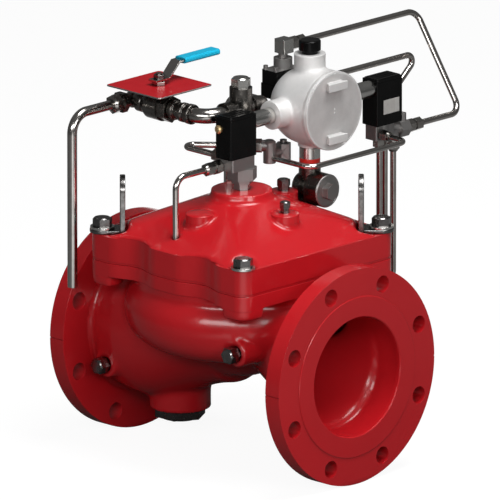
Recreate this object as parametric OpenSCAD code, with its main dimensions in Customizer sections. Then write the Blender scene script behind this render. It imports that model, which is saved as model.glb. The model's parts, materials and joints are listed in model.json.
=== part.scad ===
// Diaphragm control valve with a flanged globe body and an electric pilot circuit.
// Origin: centre of the inlet flange face. +X runs with the flow, +Z is up.

/* [Pipe flanges] */
// Distance between the two flange faces
face_to_face = 406.4; // [400:0.1:412]
// Outside diameter of each pipe flange
flange_od = 279.4; // [274:0.1:285]
// Thickness of each pipe flange
flange_t = 25; // [22:0.5:27]
// Distance of each flange hole's centre from the flange's edge
hole_edge = 19.05; // [18:0.05:21]
// Diameter of a flange hole
flange_hole_d = 22.2; // [19:0.1:24]
// Holes in each flange
flange_holes = 8; // [8:4:8]
// Bore of the flow passage at the flanges
bore_d = 154; // [148:1:156]

/* [Body casting] */
// Wall of the casting
wall = 10; // [9:0.5:11]
// Largest radius of the upper chamber outside
chamber_r = 149; // [147:0.5:150]
// Radius of the upper chamber's rounded edge
chamber_edge_r = 46; // [44:1:48]
// Height of the centre of that edge
chamber_edge_z = 54; // [52:1:56]
// Radius of the upper chamber under the top flange
mouth_r = 136; // [134:0.5:137]
// Outside radius of the round pocket below the seat
pocket_r = 86; // [84:0.5:88]
// Height of the top of the seat pocket
seat_z = 50; // [48:0.5:52]
// Height of the plane where the cover meets the body
parting_z = 116; // [114:0.5:118]
// Thickness of the body's top flange
body_flange_t = 18; // [16:0.5:20]
// Drop of the corner pads under the top flange
pad_drop = 14; // [12:0.5:16]
// Radius of the drain boss
drain_boss_r = 39; // [36:0.5:42]
// Distance of the drain boss from the inlet face
drain_x = 94; // [90:1:98]

/* [Cover] */
// Half the width of the cover
cover_half = 138; // [136:0.5:140]
// Corner radius of the cover
cover_corner_r = 18; // [14:1:20]
// Thickness of the cover's flange
cover_flange_t = 31; // [29:0.5:32]
// Rise of the cover's sloping roof above its flange
roof_rise = 46; // [44:0.5:48]
// Radius of the boss that the pilot valve stands on
boss_r = 39; // [37:0.5:41]
// Height of the boss above the roof
boss_rise = 10; // [9:0.5:12]
// Distance of each corner bolt from the cover's edges
bolt_edge = 14; // [12:0.5:16]
// Diameter of a cover bolt
bolt_d = 12; // [10:0.5:12]
// Thickness of the rubber diaphragm
diaphragm_t = 3; // [2:0.5:4]

/* [Closing member] */
// Diameter of the guided stem
stem_d = 18; // [16:0.5:18]
// Lift of the closing disc
lift = 26; // [20:1:26]
// Radius of the closing disc
disc_r = 82; // [80:0.5:84]
// Radius of the opening in the seat ring
seat_bore_r = 68; // [64:1:70]

/* [Isolating valve] */
// Outside diameter of the supply tube
supply_d = 12.7; // [11.5:0.1:13]
// Height of the supply line
line_z = 297; // [295:1:299]
// Radius of the ball
ball_r = 12; // [11.5:0.5:12]
// Bore through the ball and the line
line_bore_r = 7; // [6:0.5:7]
// Side of the square tag plate
plate_side = 96; // [84:1:98]
// Length of the lever from its pivot
lever_reach = 98; // [92:1:102]
// Width of the lever
lever_w = 15; // [13:0.5:16]

/* [Pilot valves] */
// Width of a coil housing
coil_w = 28; // [26:0.5:28]
// Depth of the coil housing on the cover
coil_depth = 47; // [45:0.5:48]
// Stroke of each plunger
plunger_stroke = 3; // [2:0.5:4]
// Radius of each plunger
plunger_r = 6; // [5:0.25:6]

/* [Junction box] */
// Radius of the junction box shell
box_r = 50; // [48:0.5:51]
// Wall of the junction box shell
box_wall = 5; // [4:0.5:6]
// Height of the junction box centre
box_z = 291; // [290:0.5:292]
// Outside radius of the pillar pipe
pillar_r = 13.35; // [12.5:0.05:14]

/* [Tubing] */
// Outside diameter of the pilot tubes
tube_d = 8; // [7:0.5:8.5]
// Wall of the pilot tubes
tube_wall = 1; // [0.8:0.1:1.2]
// Reach of the tube loops beyond the box side
loop_y = 390; // [384:1:394]

/* [Hidden] */
$fn = 64;

fit = 0.05;
body_gap = 0.35;
eps = 0.01;
cx = face_to_face / 2;

flange_r = flange_od / 2;
bolt_circle_r = flange_r - hole_edge;
bore_r = bore_d / 2;
hole_pitch = 360 / flange_holes;

cover_z = parting_z + diaphragm_t;
roof_z = cover_z + cover_flange_t;
roof_top_z = roof_z + roof_rise;
boss_z = roof_top_z + boss_rise;
bolt_r = bolt_d / 2;
bolt_offset = cover_half - bolt_edge;
washer_t = 3;
valley_x = 58;
valley_half = 43;
valley_depth = 11;
pad_r = 27;
corners = [[1, 1], [1, -1], [-1, 1], [-1, -1]];

drain_z = -100;
bowl_tilt = 6;
outlet_tilt = 19;
outlet_root = face_to_face - 10;
plug_ports = [[50, -92, -36], [cx + 99, -114, 32]];
wall_port_y = 152;
wall_ports = [[129, 68], [cx - 4, 62], [cx - 4, 28]];
cover_bosses = [[0, -75], [76, 0], [0, 75]];
cover_boss_r = 18;
cover_boss_z = roof_z + 39;
cover_plug_afs = [12, 15];

stem_r = stem_d / 2;
stem_z = 0;
disc_z = seat_z + 10;
seal_t = 4;
lower_plate_t = 4;
upper_plate_t = 5;
stem_nut_t = 7;
guide_z = cover_z + upper_plate_t + stem_nut_t + lift + 1;
stem_top_z = guide_z + 8;
bush_top_z = boss_z - 10;
bush_r = 13;
guide_tube_r = 17;
spring_pocket_r = 31;
spring_r = 25;
spring_wire_r = 2.5;

supply_r = supply_d / 2;
supply_x = 40;
supply_y = -138;
line_y = -30;
ball_x = 87;
plate_z = line_z + 26;
tag_t = 2;
gland_t = 5;
lever_t = 3;
lever_z = plate_z + tag_t + gland_t + 0.4;
tee_y = 32;
line_x = 170;
line_bend = 22;
pipe_r = 9.7;

coil_z = 250;
coil_h = 51;
pilot_y = -10.3;
port_z = 239;
pilot_tube_z = port_z + 5;
pilot_tip_x = 95;
connector_len = 14;
nut_len = 14;
socket_in = 2;
tube_r = tube_d / 2;

remote_y = 253;
box_y = 122;
hub_reach = 71;
switch_x = 129;
switch_y = 145.5;
needle_at = [cx - 20, 70];

red = [0.78, 0.05, 0.09];
steel = [0.62, 0.61, 0.58];
dark_steel = [0.35, 0.34, 0.33];
black = [0.07, 0.07, 0.08];
silver = [0.82, 0.82, 0.83];
brass = [0.72, 0.5, 0.25];
rubber = [0.1, 0.1, 0.1];

// Helpers

function unit(v) = v / norm(v);

module to_x(p) translate(p) rotate([0, 90, 0]) children();
module to_y(p) translate(p) rotate([-90, 0, 0]) children();
module to_dir(p, d) translate(p) rotate([0, acos(d.z / norm(d)), atan2(d.y, d.x)]) children();
module ring(r_out, r_in, h) linear_extrude(h) ring_2d(r_out, r_in);
module hex(af, h) cylinder(r = af / 2 / cos(30), h = h, $fn = 6);

module ring_2d(r_out, r_in) {
  difference() {
    circle(r_out);
    circle(r_in);
  }
}

module hex_ring(af, r_in, h) {
  difference() {
    hex(af, h);
    translate([0, 0, -1]) cylinder(r = r_in, h = h + 2);
  }
}

module rounded_square(half, r) {
  square([2 * half, 2 * (half - r)], center = true);
  square([2 * (half - r), 2 * half], center = true);
  for (c = corners) translate(c * (half - r)) circle(r);
}

module block(size, r) linear_extrude(size.z) {
  square([size.x, size.y - 2 * r], center = true);
  square([size.x - 2 * r, size.y], center = true);
  for (c = corners) translate([c.x * (size.x / 2 - r), c.y * (size.y / 2 - r)]) circle(r);
}

// A bent tube. Each bend is a hair thicker than the straights, which run on into it
swell = 0.02;
run_on = 0.3;
function bend_angle(p, i) = acos(unit(p[i] - p[i - 1]) * unit(p[i + 1] - p[i]));
function bend_cut(p, i, bend) =
  i == 0 || i == len(p) - 1 ? 0 : bend * tan(bend_angle(p, i) / 2) - run_on;

module bent_tube(p, r_out, r_in, bend) {
  for (i = [0 : len(p) - 2]) {
    d = unit(p[i + 1] - p[i]);
    from = bend_cut(p, i, bend);
    to = bend_cut(p, i + 1, bend);
    to_dir(p[i] + d * from, d) ring(r_out, r_in, norm(p[i + 1] - p[i]) - from - to);
  }
  for (i = [1 : 1 : len(p) - 2]) {
    u = unit(p[i] - p[i - 1]);
    v = unit(p[i + 1] - p[i]);
    n = unit(v - u * (u * v));
    w = cross(u, n);
    c = p[i] - u * (bend_cut(p, i, bend) + run_on) + n * bend;
    multmatrix([[-n.x, u.x, w.x, c.x], [-n.y, u.y, w.y, c.y], [-n.z, u.z, w.z, c.z], [0, 0, 0, 1]])
      rotate_extrude(angle = bend_angle(p, i))
        translate([bend, 0]) ring_2d(r_out + swell, r_in - swell);
  }
}

// Body casting

module flange_disc(x) {
  difference() {
    to_x([x, 0, 0]) cylinder(r = flange_r, h = flange_t, $fn = 128);
    for (i = [0 : flange_holes - 1])
      rotate([(i + 0.5) * hole_pitch, 0, 0])
        to_x([x - 1, 0, bolt_circle_r]) cylinder(d = flange_hole_d, h = flange_t + 2);
    for (side = [-1, 1])
      translate([x - 1, side * flange_r - 1, -0.6]) cube([flange_t + 2, 2, 1.2]);
  }
}

// The inlet bowl swells below the seat: neck radius plus a bell-shaped bulge
bowl_neck_r = 66;
bowl_bulge = 31;
bowl_peak = 66;
bowl_spread = 75;
bowl_start = 20;
bowl_end = 200;
function bowl_r(s) = bowl_neck_r + bowl_bulge * exp(-pow((s - bowl_peak) / bowl_spread, 2));

module bowl(offset_in, start) {
  rotate([0, 90 - bowl_tilt, 0])
    rotate_extrude()
      polygon(concat([[0, start]], [for (s = [start : 15 : bowl_end]) [bowl_r(s) - offset_in, s]],
        [[0, bowl_end]]));
}

module seat_pocket(r) {
  intersection() {
    translate([cx, 0, seat_z]) sphere(r, $fn = 96);
    translate([cx - r - 1, -r - 1, seat_z - r - 1]) cube([2 * r + 2, 2 * r + 2, r + 1]);
  }
}

// The upper chamber is round: a bulged wall that draws in to a straight mouth
module upper_chamber(inset, top) {
  edge_r = chamber_edge_r - inset;
  edge_x = chamber_r - chamber_edge_r;
  bottom = chamber_edge_z - edge_r;
  translate([cx, 0, 0]) rotate_extrude($fn = 128) {
    intersection() {
      translate([edge_x, chamber_edge_z]) circle(edge_r);
      translate([edge_x - 1, bottom]) square([edge_r + 2, top - bottom]);
    }
    translate([0, bottom]) square([edge_x, chamber_edge_z - bottom]);
    translate([0, chamber_edge_z - 1]) square([mouth_r - inset, top - chamber_edge_z + 1]);
  }
}

module outlet_passage(r_flange, taper, x_limit) {
  reach = 170;
  tail = 40;
  intersection() {
    translate([outlet_root, 0, 0]) rotate([0, -(90 - outlet_tilt), 0]) translate([0, 0, -tail])
      cylinder(r1 = r_flange + taper * tail, r2 = r_flange - taper * reach, h = reach + tail);
    translate([cx - 20, -flange_r, -flange_r])
      cube([x_limit - cx + 20, 2 * flange_r, 2 * flange_r]);
  }
}

// Two smooth valleys in each of the square's two long sides, which leave a lobe in the middle
module side_valleys(inset) {
  for (turn = [0, 180])
    for (end = [-1, 1])
      rotate(turn) translate([end * valley_x, cover_half - inset])
        polygon(concat([[valley_half, 12], [-valley_half, 12]],
          [for (i = [-12 : 12]) [valley_half * i / 12, -valley_depth * (1 + cos(15 * i)) / 2]]));
}

module square_flange(z, t, inset = 0) {
  translate([cx, 0, z]) linear_extrude(t) difference() {
    rounded_square(cover_half - inset, cover_corner_r);
    side_valleys(inset);
  }
}

// The thicker pads round the four bolts
module corner_pads(z, t) {
  intersection() {
    square_flange(z, t);
    for (c = corners)
      translate([cx + c.x * bolt_offset, c.y * bolt_offset, z]) cylinder(r = pad_r, h = t);
  }
}

module body_outside() {
  flange_disc(0);
  flange_disc(face_to_face - flange_t);
  bowl(0, bowl_start);
  seat_pocket(pocket_r);
  upper_chamber(0, parting_z - body_flange_t + 1);
  outlet_passage(88, 0.2, face_to_face - 4);
  square_flange(parting_z - body_flange_t, body_flange_t);
  corner_pads(parting_z - body_flange_t - pad_drop, pad_drop + 1);
  translate([drain_x, 0, drain_z]) cylinder(r = drain_boss_r, h = 60);
  for (p = plug_ports) to_y(p) cylinder(r = 18, h = 40);
  for (p = wall_ports) to_y([p.x, wall_port_y - 40, p.y]) cylinder(r = 14, h = 40);
}

// The room above the seat deck that the closing disc needs, grown by the thickness of the walls round it
module disc_space(grow) {
  translate([cx - disc_r - disc_room - grow, -flange_r, seat_z - grow])
    cube([2 * flange_r, 2 * flange_r, flange_r]);
}

module inlet_cavity() {
  to_x([-1, 0, 0]) cylinder(r = bore_r, h = flange_t + 1);
  to_x([flange_t - 1, 0, 0]) cylinder(r = bore_r - bore_step, h = 16);
  difference() {
    bowl(wall, bowl_start + 15);
    disc_space(wall);
  }
  seat_pocket(pocket_r - wall - 1);
  translate([cx, 0, seat_z - 10]) cylinder(r = seat_ring_r + fit, h = 30);
}

module outlet_cavity() {
  difference() {
    union() {
      upper_chamber(wall, parting_z + 1);
      outlet_passage(bore_r, 0.19, face_to_face - flange_t);
      to_x([face_to_face - flange_t - 15, 0, 0]) cylinder(r = bore_r - bore_step, h = 16);
      to_x([face_to_face - flange_t, 0, 0]) cylinder(r = bore_r, h = flange_t + 1);
    }
    difference() {
      bowl(0, bowl_start);
      disc_space(0);
    }
    seat_pocket(pocket_r);
  }
}

module body_casting() color(red) difference() {
  body_outside();
  inlet_cavity();
  outlet_cavity();
  for (c = corners)
    translate([cx + c.x * bolt_offset, c.y * bolt_offset, parting_z - bolt_depth])
      cylinder(r = bolt_r + fit, h = bolt_depth + 1);
  translate([drain_x, 0, drain_z - 1]) cylinder(r = drain_thread_r + fit, h = 60);
  for (p = plug_ports) {
    to_y(p - [0, 1, 0]) cylinder(r = plug_thread_r + fit, h = 40);
    to_y(p - [0, 16, 0]) cylinder(r = plug_seat_r, h = 16);
  }
  for (p = wall_ports) to_y([p.x, wall_port_y - 45, p.y]) cylinder(r = port_thread_r + fit, h = 46);
}

bore_step = 1.5;
disc_room = 8;
plug_seat_r = 14;
seat_ring_r = 78;
seat_lip_r = 84;
bolt_depth = 28;
drain_thread_r = 26;
plug_thread_r = 9;
port_thread_r = 5;

// Seat, diaphragm and cover

module seat_ring() color(brass) {
  translate([cx, 0, 0]) difference() {
    union() {
      translate([0, 0, seat_z - 10]) cylinder(r = seat_ring_r, h = 10);
      translate([0, 0, seat_z]) cylinder(r = seat_lip_r, h = 6);
      translate([0, 0, seat_z + 6]) ring(seat_bore_r + 8, seat_bore_r, disc_z - seat_z - 6);
    }
    translate([0, 0, seat_z - 11]) cylinder(r = seat_bore_r, h = 30);
  }
  translate([cx, 0, 0]) difference() {
    union() {
      translate([0, 0, seat_z - 32]) cylinder(r = stem_r + 7, h = 30);
      for (i = [0 : 2]) rotate([0, 0, 120 * i + 30])
        translate([0, -4, seat_z - 10]) cube([seat_bore_r + 2, 8, 8]);
    }
    translate([0, 0, seat_z - 33]) cylinder(r = stem_r + fit, h = 32);
  }
}

module diaphragm() color(rubber) difference() {
  square_flange(parting_z, diaphragm_t, 2);
  translate([cx, 0, parting_z - 1]) cylinder(r = stem_r + fit, h = diaphragm_t + 2);
  for (c = corners)
    translate([cx + c.x * bolt_offset, c.y * bolt_offset, parting_z - 1])
      cylinder(r = bolt_r + fit, h = diaphragm_t + 2);
}

// A four-sided roof: a square rim, a smaller rounded square part of the way up and a round top
module roof(half, rim, shoulder, top_z, top_r) {
  hull() {
    translate([cx, 0, rim[0]]) linear_extrude(rim[1])
      rounded_square(half, cover_corner_r, $fn = 32);
    translate([cx, 0, shoulder[1]]) linear_extrude(eps) rounded_square(shoulder[0], shoulder[0] / 2, $fn = 32);
    translate([cx, 0, top_z]) cylinder(r = top_r, h = eps, $fn = 32);
  }
}

module boss_profile() {
  neck = 10;
  translate([0, roof_top_z - 20]) square([boss_r, boss_rise + 18]);
  translate([0, boss_z - 4]) square([boss_r - 2, 4]);
  translate([boss_r - 2, boss_z - 2]) circle(2);
  translate([0, roof_top_z - 20]) difference() {
    square([boss_r + neck, 20 + neck - 3]);
    translate([boss_r + neck, 20 + neck - 3]) circle(neck);
  }
}

// Flat seats for the bolts, with a sloping edge. Two are longer, for the feet of the lifting lugs
module corner_seats() {
  for (c = corners)
    translate([cx + c.x * bolt_offset, c.y * bolt_offset, roof_z])
      rotate([0, 0, atan2(-c.y, -c.x)]) {
        cylinder(r1 = 18, r2 = 38, h = 20);
        if (c.x == c.y) translate([0, -21, 0]) cube([31, 42, 40]);
      }
}

module cover_casting() color(red) difference() {
  union() {
    square_flange(cover_z, cover_flange_t);
    difference() {
      roof(cover_half - 2, [roof_z - eps, eps], [97, roof_z + 15], roof_top_z - 2, 46);
      corner_seats();
    }
    translate([cx, 0, 0]) rotate_extrude() boss_profile();
    for (p = cover_bosses)
      translate([cx + p.x, p.y, roof_z]) cylinder(r = cover_boss_r, h = cover_boss_z - roof_z);
  }
  difference() {
    union() {
      roof(cover_half - 28, [cover_z - 1, 23], [84, roof_z + 3], roof_top_z - 14, 42);
      translate([cx, 0, cover_z]) cylinder(r = spring_pocket_r, h = bush_top_z - 4 - cover_z);
    }
    translate([cx, 0, guide_z]) cylinder(r = guide_tube_r, h = 60);
  }
  translate([cx, 0, guide_z - 1]) cylinder(r = bush_r + fit, h = bush_top_z - guide_z + 1);
  translate([cx, 0, boss_z - 8]) cylinder(r = nipple_r + fit, h = 9);
  translate([cx, 0, bush_top_z - 1]) cylinder(r = 3, h = 4);
  for (c = corners)
    translate([cx + c.x * bolt_offset, c.y * bolt_offset, cover_z - 1])
      cylinder(r = bolt_r + fit, h = cover_flange_t + 2);
  for (p = [cover_bosses[1], cover_bosses[2]])
    translate([cx + p.x, p.y, cover_boss_z - 10]) cylinder(r = cover_plug_r + fit, h = 11);
  translate([cover_tube_x, cover_tube_y, roof_z - 8]) cylinder(r = tube_r + fit, h = 40);
  translate([0, 0, cover_z]) linear_extrude(2 * roof_rise) translate([cx, 0]) side_valleys(0);
  translate([priming_at.x, priming_at.y, roof_z - 8]) cylinder(r = supply_r + fit, h = 60);
  translate([cx, box_y, roof_z - 8]) cylinder(r = filter_neck_r + fit, h = 40);
}

nipple_r = 6.5;
cover_plug_r = 5;
cover_tube_x = cx - 9;
cover_tube_y = -109;
priming_at = [115, tee_y + 34];
filter_neck_r = 9;

module cover_bush() color(brass)
  translate([cx, 0, guide_z]) ring(bush_r, stem_r + fit, bush_top_z - guide_z);

module cover_bolts() color(dark_steel) {
  for (c = corners) {
    seat = roof_z + washer_t + (c.x == c.y ? lug_foot_t : 0);
    translate([cx + c.x * bolt_offset, c.y * bolt_offset, 0]) {
      translate([0, 0, parting_z - bolt_depth + 4])
        cylinder(r = bolt_r, h = seat - parting_z + bolt_depth - 4 + eps);
      translate([0, 0, seat]) hex(bolt_af, bolt_head_t);
      translate([0, 0, seat + bolt_head_t]) cylinder(r1 = bolt_af / 2 - 0.1, r2 = bolt_af / 2 - 1.5, h = 1.2);
    }
  }
}

module cover_washers() color(steel)
  for (c = corners)
    translate([cx + c.x * bolt_offset, c.y * bolt_offset, roof_z + (c.x == c.y ? lug_foot_t : 0)])
      ring(15.5, bolt_r + 0.5, washer_t);

bolt_af = 22;
bolt_head_t = 10;

// Lifting lugs: a foot under two of the corner bolts and a tall upright eye

lug_foot_t = 5;
lug_t = 7;
lug_w = 40;
lug_top_z = 74;
lug_inset = 22;

module lifting_lugs() color(steel)
  for (c = [corners[0], corners[3]])
    translate([cx + c.x * bolt_offset, c.y * bolt_offset, roof_z])
      rotate([0, 0, atan2(-c.y, -c.x)]) difference() {
        union() {
          cylinder(r = 16, h = lug_foot_t);
          translate([0, -16, 0]) cube([lug_inset + 1, 32, lug_foot_t]);
          translate([lug_inset, -lug_w / 2, 0]) cube([lug_t, lug_w, lug_top_z - lug_w / 2]);
          to_x([lug_inset, 0, lug_top_z - lug_w / 2]) cylinder(r = lug_w / 2, h = lug_t);
        }
        translate([0, 0, -1]) cylinder(r = bolt_r + 0.5, h = lug_foot_t + 2);
        to_x([lug_inset - 1, 0, lug_top_z - lug_w / 2]) cylinder(r = lug_w / 2 - 8, h = lug_t + 2);
        translate([lug_inset - 1, 8 - lug_w / 2, 18])
          cube([lug_t + 2, lug_w - 16, lug_top_z - lug_w / 2 - 18]);
      }

// Plugs

drain_plug_af = 57;
drain_plug_t = 12;
plug_af = 19;
plug_t = 13;

module drain_plug() color(dark_steel) translate([drain_x, 0, drain_z]) {
  translate([0, 0, -drain_plug_t]) hex(drain_plug_af, drain_plug_t);
  translate([0, 0, -eps]) cylinder(r = drain_thread_r, h = 24);
  translate([0, 0, -drain_plug_t - 2])
    cylinder(r1 = drain_plug_af / 2 - 4.5, r2 = drain_plug_af / 2 - 1.5, h = 2);
}

module boss_plugs() color(dark_steel) {
  for (p = plug_ports) {
    to_y(p - [0, plug_t, 0]) hex(plug_af, plug_t);
    to_y(p - [0, plug_t + 1.5, 0]) cylinder(r1 = plug_af / 2 - 1.5, r2 = plug_af / 2 - 0.1, h = 1.5);
    to_y(p - [0, eps, 0]) cylinder(r = plug_thread_r, h = 14);
  }
  for (i = [0, 1])
    translate([cx + cover_bosses[i + 1].x, cover_bosses[i + 1].y, cover_boss_z]) {
      translate([0, 0, -8]) cylinder(r = cover_plug_r, h = 9);
      hex(cover_plug_afs[i] - 2, 6);
      translate([0, 0, 6]) hex(cover_plug_afs[i], 8);
      translate([0, 0, 14]) cylinder(r1 = cover_plug_afs[i] / 2 - 0.2, r2 = cover_plug_afs[i] / 2 - 1.4, h = 1);
    }
}

// Closing member

module stem() color(steel) translate([cx, 0, stem_z]) {
  cylinder(r = stem_r, h = stem_top_z - stem_z);
}

module closing_disc() color(steel) translate([cx, 0, disc_z + body_gap]) difference() {
  union() {
    translate([0, 0, seal_t - 2]) cylinder(r = disc_r, h = 12);
    cylinder(r = seat_bore_r - 4, h = 4);
    translate([0, 0, 10]) cylinder(r1 = 40, r2 = 24, h = disc_column_top - disc_z - body_gap - 10);
  }
  translate([0, 0, -1]) cylinder(r = stem_r, h = 80);
  translate([0, 0, -1]) ring(disc_r - 2, seat_bore_r - 4, seal_t + 1);
}

disc_column_top = parting_z - lower_plate_t;

module disc_seal() color(rubber)
  translate([cx, 0, disc_z + body_gap]) ring(disc_r - 2, seat_bore_r - 4, seal_t);

module clamp_plates() color(steel) {
  translate([cx, 0, parting_z - lower_plate_t]) ring(clamp_r, stem_r, lower_plate_t);
  translate([cx, 0, cover_z]) ring(clamp_r, stem_r, upper_plate_t);
}

clamp_r = 74;

module stem_nut() color(dark_steel)
  translate([cx, 0, cover_z + upper_plate_t]) hex_ring(30, stem_r, stem_nut_t);

// Helical spring swept as rings of points along its wire
spring_turns = 6;
spring_steps = 18;
spring_sides = 8;
spring_low = cover_z + upper_plate_t + spring_wire_r;
spring_high = bush_top_z - 4 - spring_wire_r;

module main_spring() color(steel) translate([cx, 0, 0]) {
  n = spring_turns * spring_steps;
  points = [
    for (i = [0 : n]) let(a = 360 * i / spring_steps, z = spring_low + (spring_high - spring_low) * i / n)
      for (k = [0 : spring_sides - 1]) let(b = 360 * (k + 0.5) / spring_sides, r = spring_r + spring_wire_r * cos(b))
        [r * cos(a), r * sin(a), z + spring_wire_r * sin(b) / cos(180 / spring_sides) * 0.98]
  ];
  side_faces = [
    for (i = [0 : n - 1]) for (k = [0 : spring_sides - 1]) let(j = (k + 1) % spring_sides)
      each [
        [i * spring_sides + k, (i + 1) * spring_sides + k, (i + 1) * spring_sides + j],
        [i * spring_sides + k, (i + 1) * spring_sides + j, i * spring_sides + j]
      ]
  ];
  first_face = [for (k = [0 : spring_sides - 1]) k];
  last_face = [for (k = [spring_sides - 1 : -1 : 0]) n * spring_sides + k];
  polyhedron(points, concat(side_faces, [first_face, last_face]), convexity = 10);
}

// Supply line and isolating ball valve

module supply_tube() color(steel)
  bent_tube([[supply_x, supply_y, 73], [supply_x, supply_y, line_z], [supply_x, line_y - 24, line_z]],
    supply_r, supply_r - 1.5, 25);

module inlet_elbow() color(dark_steel) difference() {
  union() {
    to_y([supply_x, line_y - 25, line_z]) hex(24, 9);
    to_y([supply_x, line_y - 16, line_z]) cylinder(r = 9, h = 16);
    translate([supply_x, line_y, line_z]) rotate([0, 0, 135]) sphere(11);
    to_x([supply_x, line_y, line_z]) cylinder(r = 9, h = 14);
  }
  to_y([supply_x, line_y - 26, line_z]) cylinder(r = supply_r + fit, h = 2);
  to_y([supply_x, line_y - 25, line_z]) cylinder(r = supply_r - 1.5, h = 27);
  to_x([supply_x - 2, line_y, line_z]) cylinder(r = supply_r - 1.8, h = 20);
}

module ball_valve_body() color(dark_steel) difference() {
  union() {
    to_x([0, line_y, line_z]) rotate_extrude()
      polygon([[0, 54], [13, 54], [13, 62], [12, 64], [17.5, 74], [18, 96], [0, 96]]);
    translate([ball_x, line_y, line_z]) cylinder(r = 8.9, h = plate_z - line_z);
    translate([ball_x, line_y, line_z + 18.4]) cylinder(r = 11, h = plate_z - line_z - 18.4);
    translate([ball_x, line_y, line_z]) cylinder(r = 7, h = plate_z - line_z + tag_t);
  }
  to_x([53, line_y, line_z]) cylinder(r = line_bore_r, h = 60);
  to_x([ball_x - seat_back, line_y, line_z]) cylinder(r = ball_cup_r, h = 60);
  translate([ball_x, line_y, line_z]) cylinder(r = 4 + fit, h = 60);
}

ball_cup_r = ball_r + 0.4;
seat_back = 13;
ball_seat_t = 6;

module valve_end_cap() color(dark_steel) difference() {
  to_x([96, line_y, line_z]) hex(31, 14);
  to_x([95, line_y, line_z]) cylinder(r = ball_cup_r, h = ball_x + seat_back - 95);
  to_x([95, line_y, line_z]) cylinder(r = line_bore_r, h = 20);
}

module ball_seats() color(silver) difference() {
  for (side = [-1, 1])
    to_x([ball_x + side * (seat_back - ball_seat_t / 2) - ball_seat_t / 2, line_y, line_z])
      ring(ball_cup_r, line_bore_r, ball_seat_t);
  translate([ball_x, line_y, line_z]) sphere(ball_r + body_gap);
}

module ball() color(silver) translate([ball_x, line_y, line_z]) difference() {
  sphere(ball_r);
  to_y([0, -20, 0]) cylinder(r = line_bore_r, h = 40);
  translate([-8, -2, ball_r - 4]) cube([16, 4, 6]);
}

module valve_stem() color(steel) translate([ball_x, line_y, 0]) {
  translate([-3, -2 + fit, line_z + ball_r - 4]) cube([6, 4 - 2 * fit, 5]);
  translate([0, 0, line_z + ball_r + 0.5]) cylinder(r = 4, h = lever_z - line_z - ball_r - 0.5 + lever_t + 7);
}

module gland_nut() color(steel)
  translate([ball_x, line_y, plate_z + tag_t]) hex_ring(17, 4 + fit, gland_t);

// The lever is a bent strip: flat at the pivot, up at 45 degrees, then level
lever_rise = 18;
lever_start = 12;
lever_heel = 12;

module lever() color(steel) difference() {
  slope_end = lever_start + lever_rise;
  shift = lever_t * tan(22.5);
  translate([ball_x - lever_w / 2, line_y, lever_z]) rotate([90, 0, 90]) linear_extrude(lever_w)
    polygon([
      [-lever_heel, 0], [lever_start, 0], [slope_end, lever_rise], [lever_reach, lever_rise],
      [lever_reach, lever_rise + lever_t], [slope_end - shift, lever_rise + lever_t],
      [lever_start - shift, lever_t], [-lever_heel, lever_t]
    ]);
  translate([ball_x, line_y, lever_z - 1]) cylinder(r = 4, h = lever_t + 2);
}

module lever_grip() color([0.2, 0.6, 0.85]) {
  grip_from = lever_start + lever_rise + 8;
  grip_len = lever_reach - grip_from + 2;
  difference() {
    to_y([ball_x, line_y + grip_from, lever_z + lever_rise + lever_t / 2])
      block([lever_w + 4, 8, grip_len], 3.5);
    translate([ball_x - lever_w / 2, line_y + grip_from - 1, lever_z + lever_rise])
      cube([lever_w, grip_len - 1, lever_t]);
  }
}

module lever_nut() color(dark_steel)
  translate([ball_x, line_y, lever_z + lever_t]) hex_ring(13, 4, 5);

module tag_plate() color(red) difference() {
  translate([ball_x, line_y, plate_z]) block([plate_side, plate_side, tag_t], 5);
  translate([ball_x, line_y, plate_z - 1]) cylinder(r = 7 + fit, h = tag_t + 2);
}

// A union with the socket that the line pipe is screwed into
union_x = ball_x + 23;
union_len = 37.5;
socket_x = union_x + union_len;

module line_elbow() color(dark_steel) difference() {
  to_x([union_x, line_y, line_z]) rotate_extrude() polygon([
    [0, 0], [10, 0], [12.5, 1], [12.5, 8], [9.5, 9], [9.5, 17], [12.5, 18], [12.5, 24], [10, 25],
    [10, 28.5], [13, 29.5], [13, union_len - 1], [12, union_len], [0, union_len]
  ]);
  to_x([union_x - 1, line_y, line_z]) cylinder(r = line_bore_r - 1, h = 40);
  to_x([socket_x - 8, line_y, line_z]) cylinder(r = pipe_r + fit, h = 10);
}

// The line pipe sweeps round from the union to the tee
module line_pipe() color(steel)
  bent_tube([[socket_x - 8 + fit, line_y, line_z], [line_x, line_y, line_z],
    [line_x, tee_y - tee_reach + 4, line_z]], pipe_r, pipe_r - 2.5, line_bend);

tee_reach = 32;
tee_top = 28.5;

module line_tee() color(dark_steel) translate([line_x, tee_y, line_z]) difference() {
  union() {
    to_y([0, -tee_reach, 0]) cylinder(r = 13, h = 12);
    to_y([0, 0.5 - tee_reach, 0]) cylinder(r = 10.5, h = 52);
    to_y([0, 17, 0]) cylinder(r = 13, h = 8);
    to_y([0, 24, 0]) cylinder(r = 11, h = 10);
    translate([0, 34, 0]) sphere(11);
    rotate([0, -90, 0]) translate([0, 34, 0]) cylinder(r = 10, h = 15);
    translate([0, 0, -13]) cylinder(r = 14.5, h = 13 + tee_top);
  }
  to_y([0, -tee_reach - 1, 0]) cylinder(r = line_bore_r - 1, h = tee_reach + 35);
  to_y([0, -tee_reach - 1, 0]) cylinder(r = pipe_r + fit, h = 5 + fit);
  translate([0, 34, 0]) rotate([0, -90, 0]) cylinder(r = line_bore_r - 2, h = 10);
  translate([0, 34, 0]) rotate([0, -90, 0]) translate([0, 0, 10]) cylinder(r = supply_r + fit, h = 10);
  cylinder(r = 9 + fit, h = tee_top + 1);
}

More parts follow.
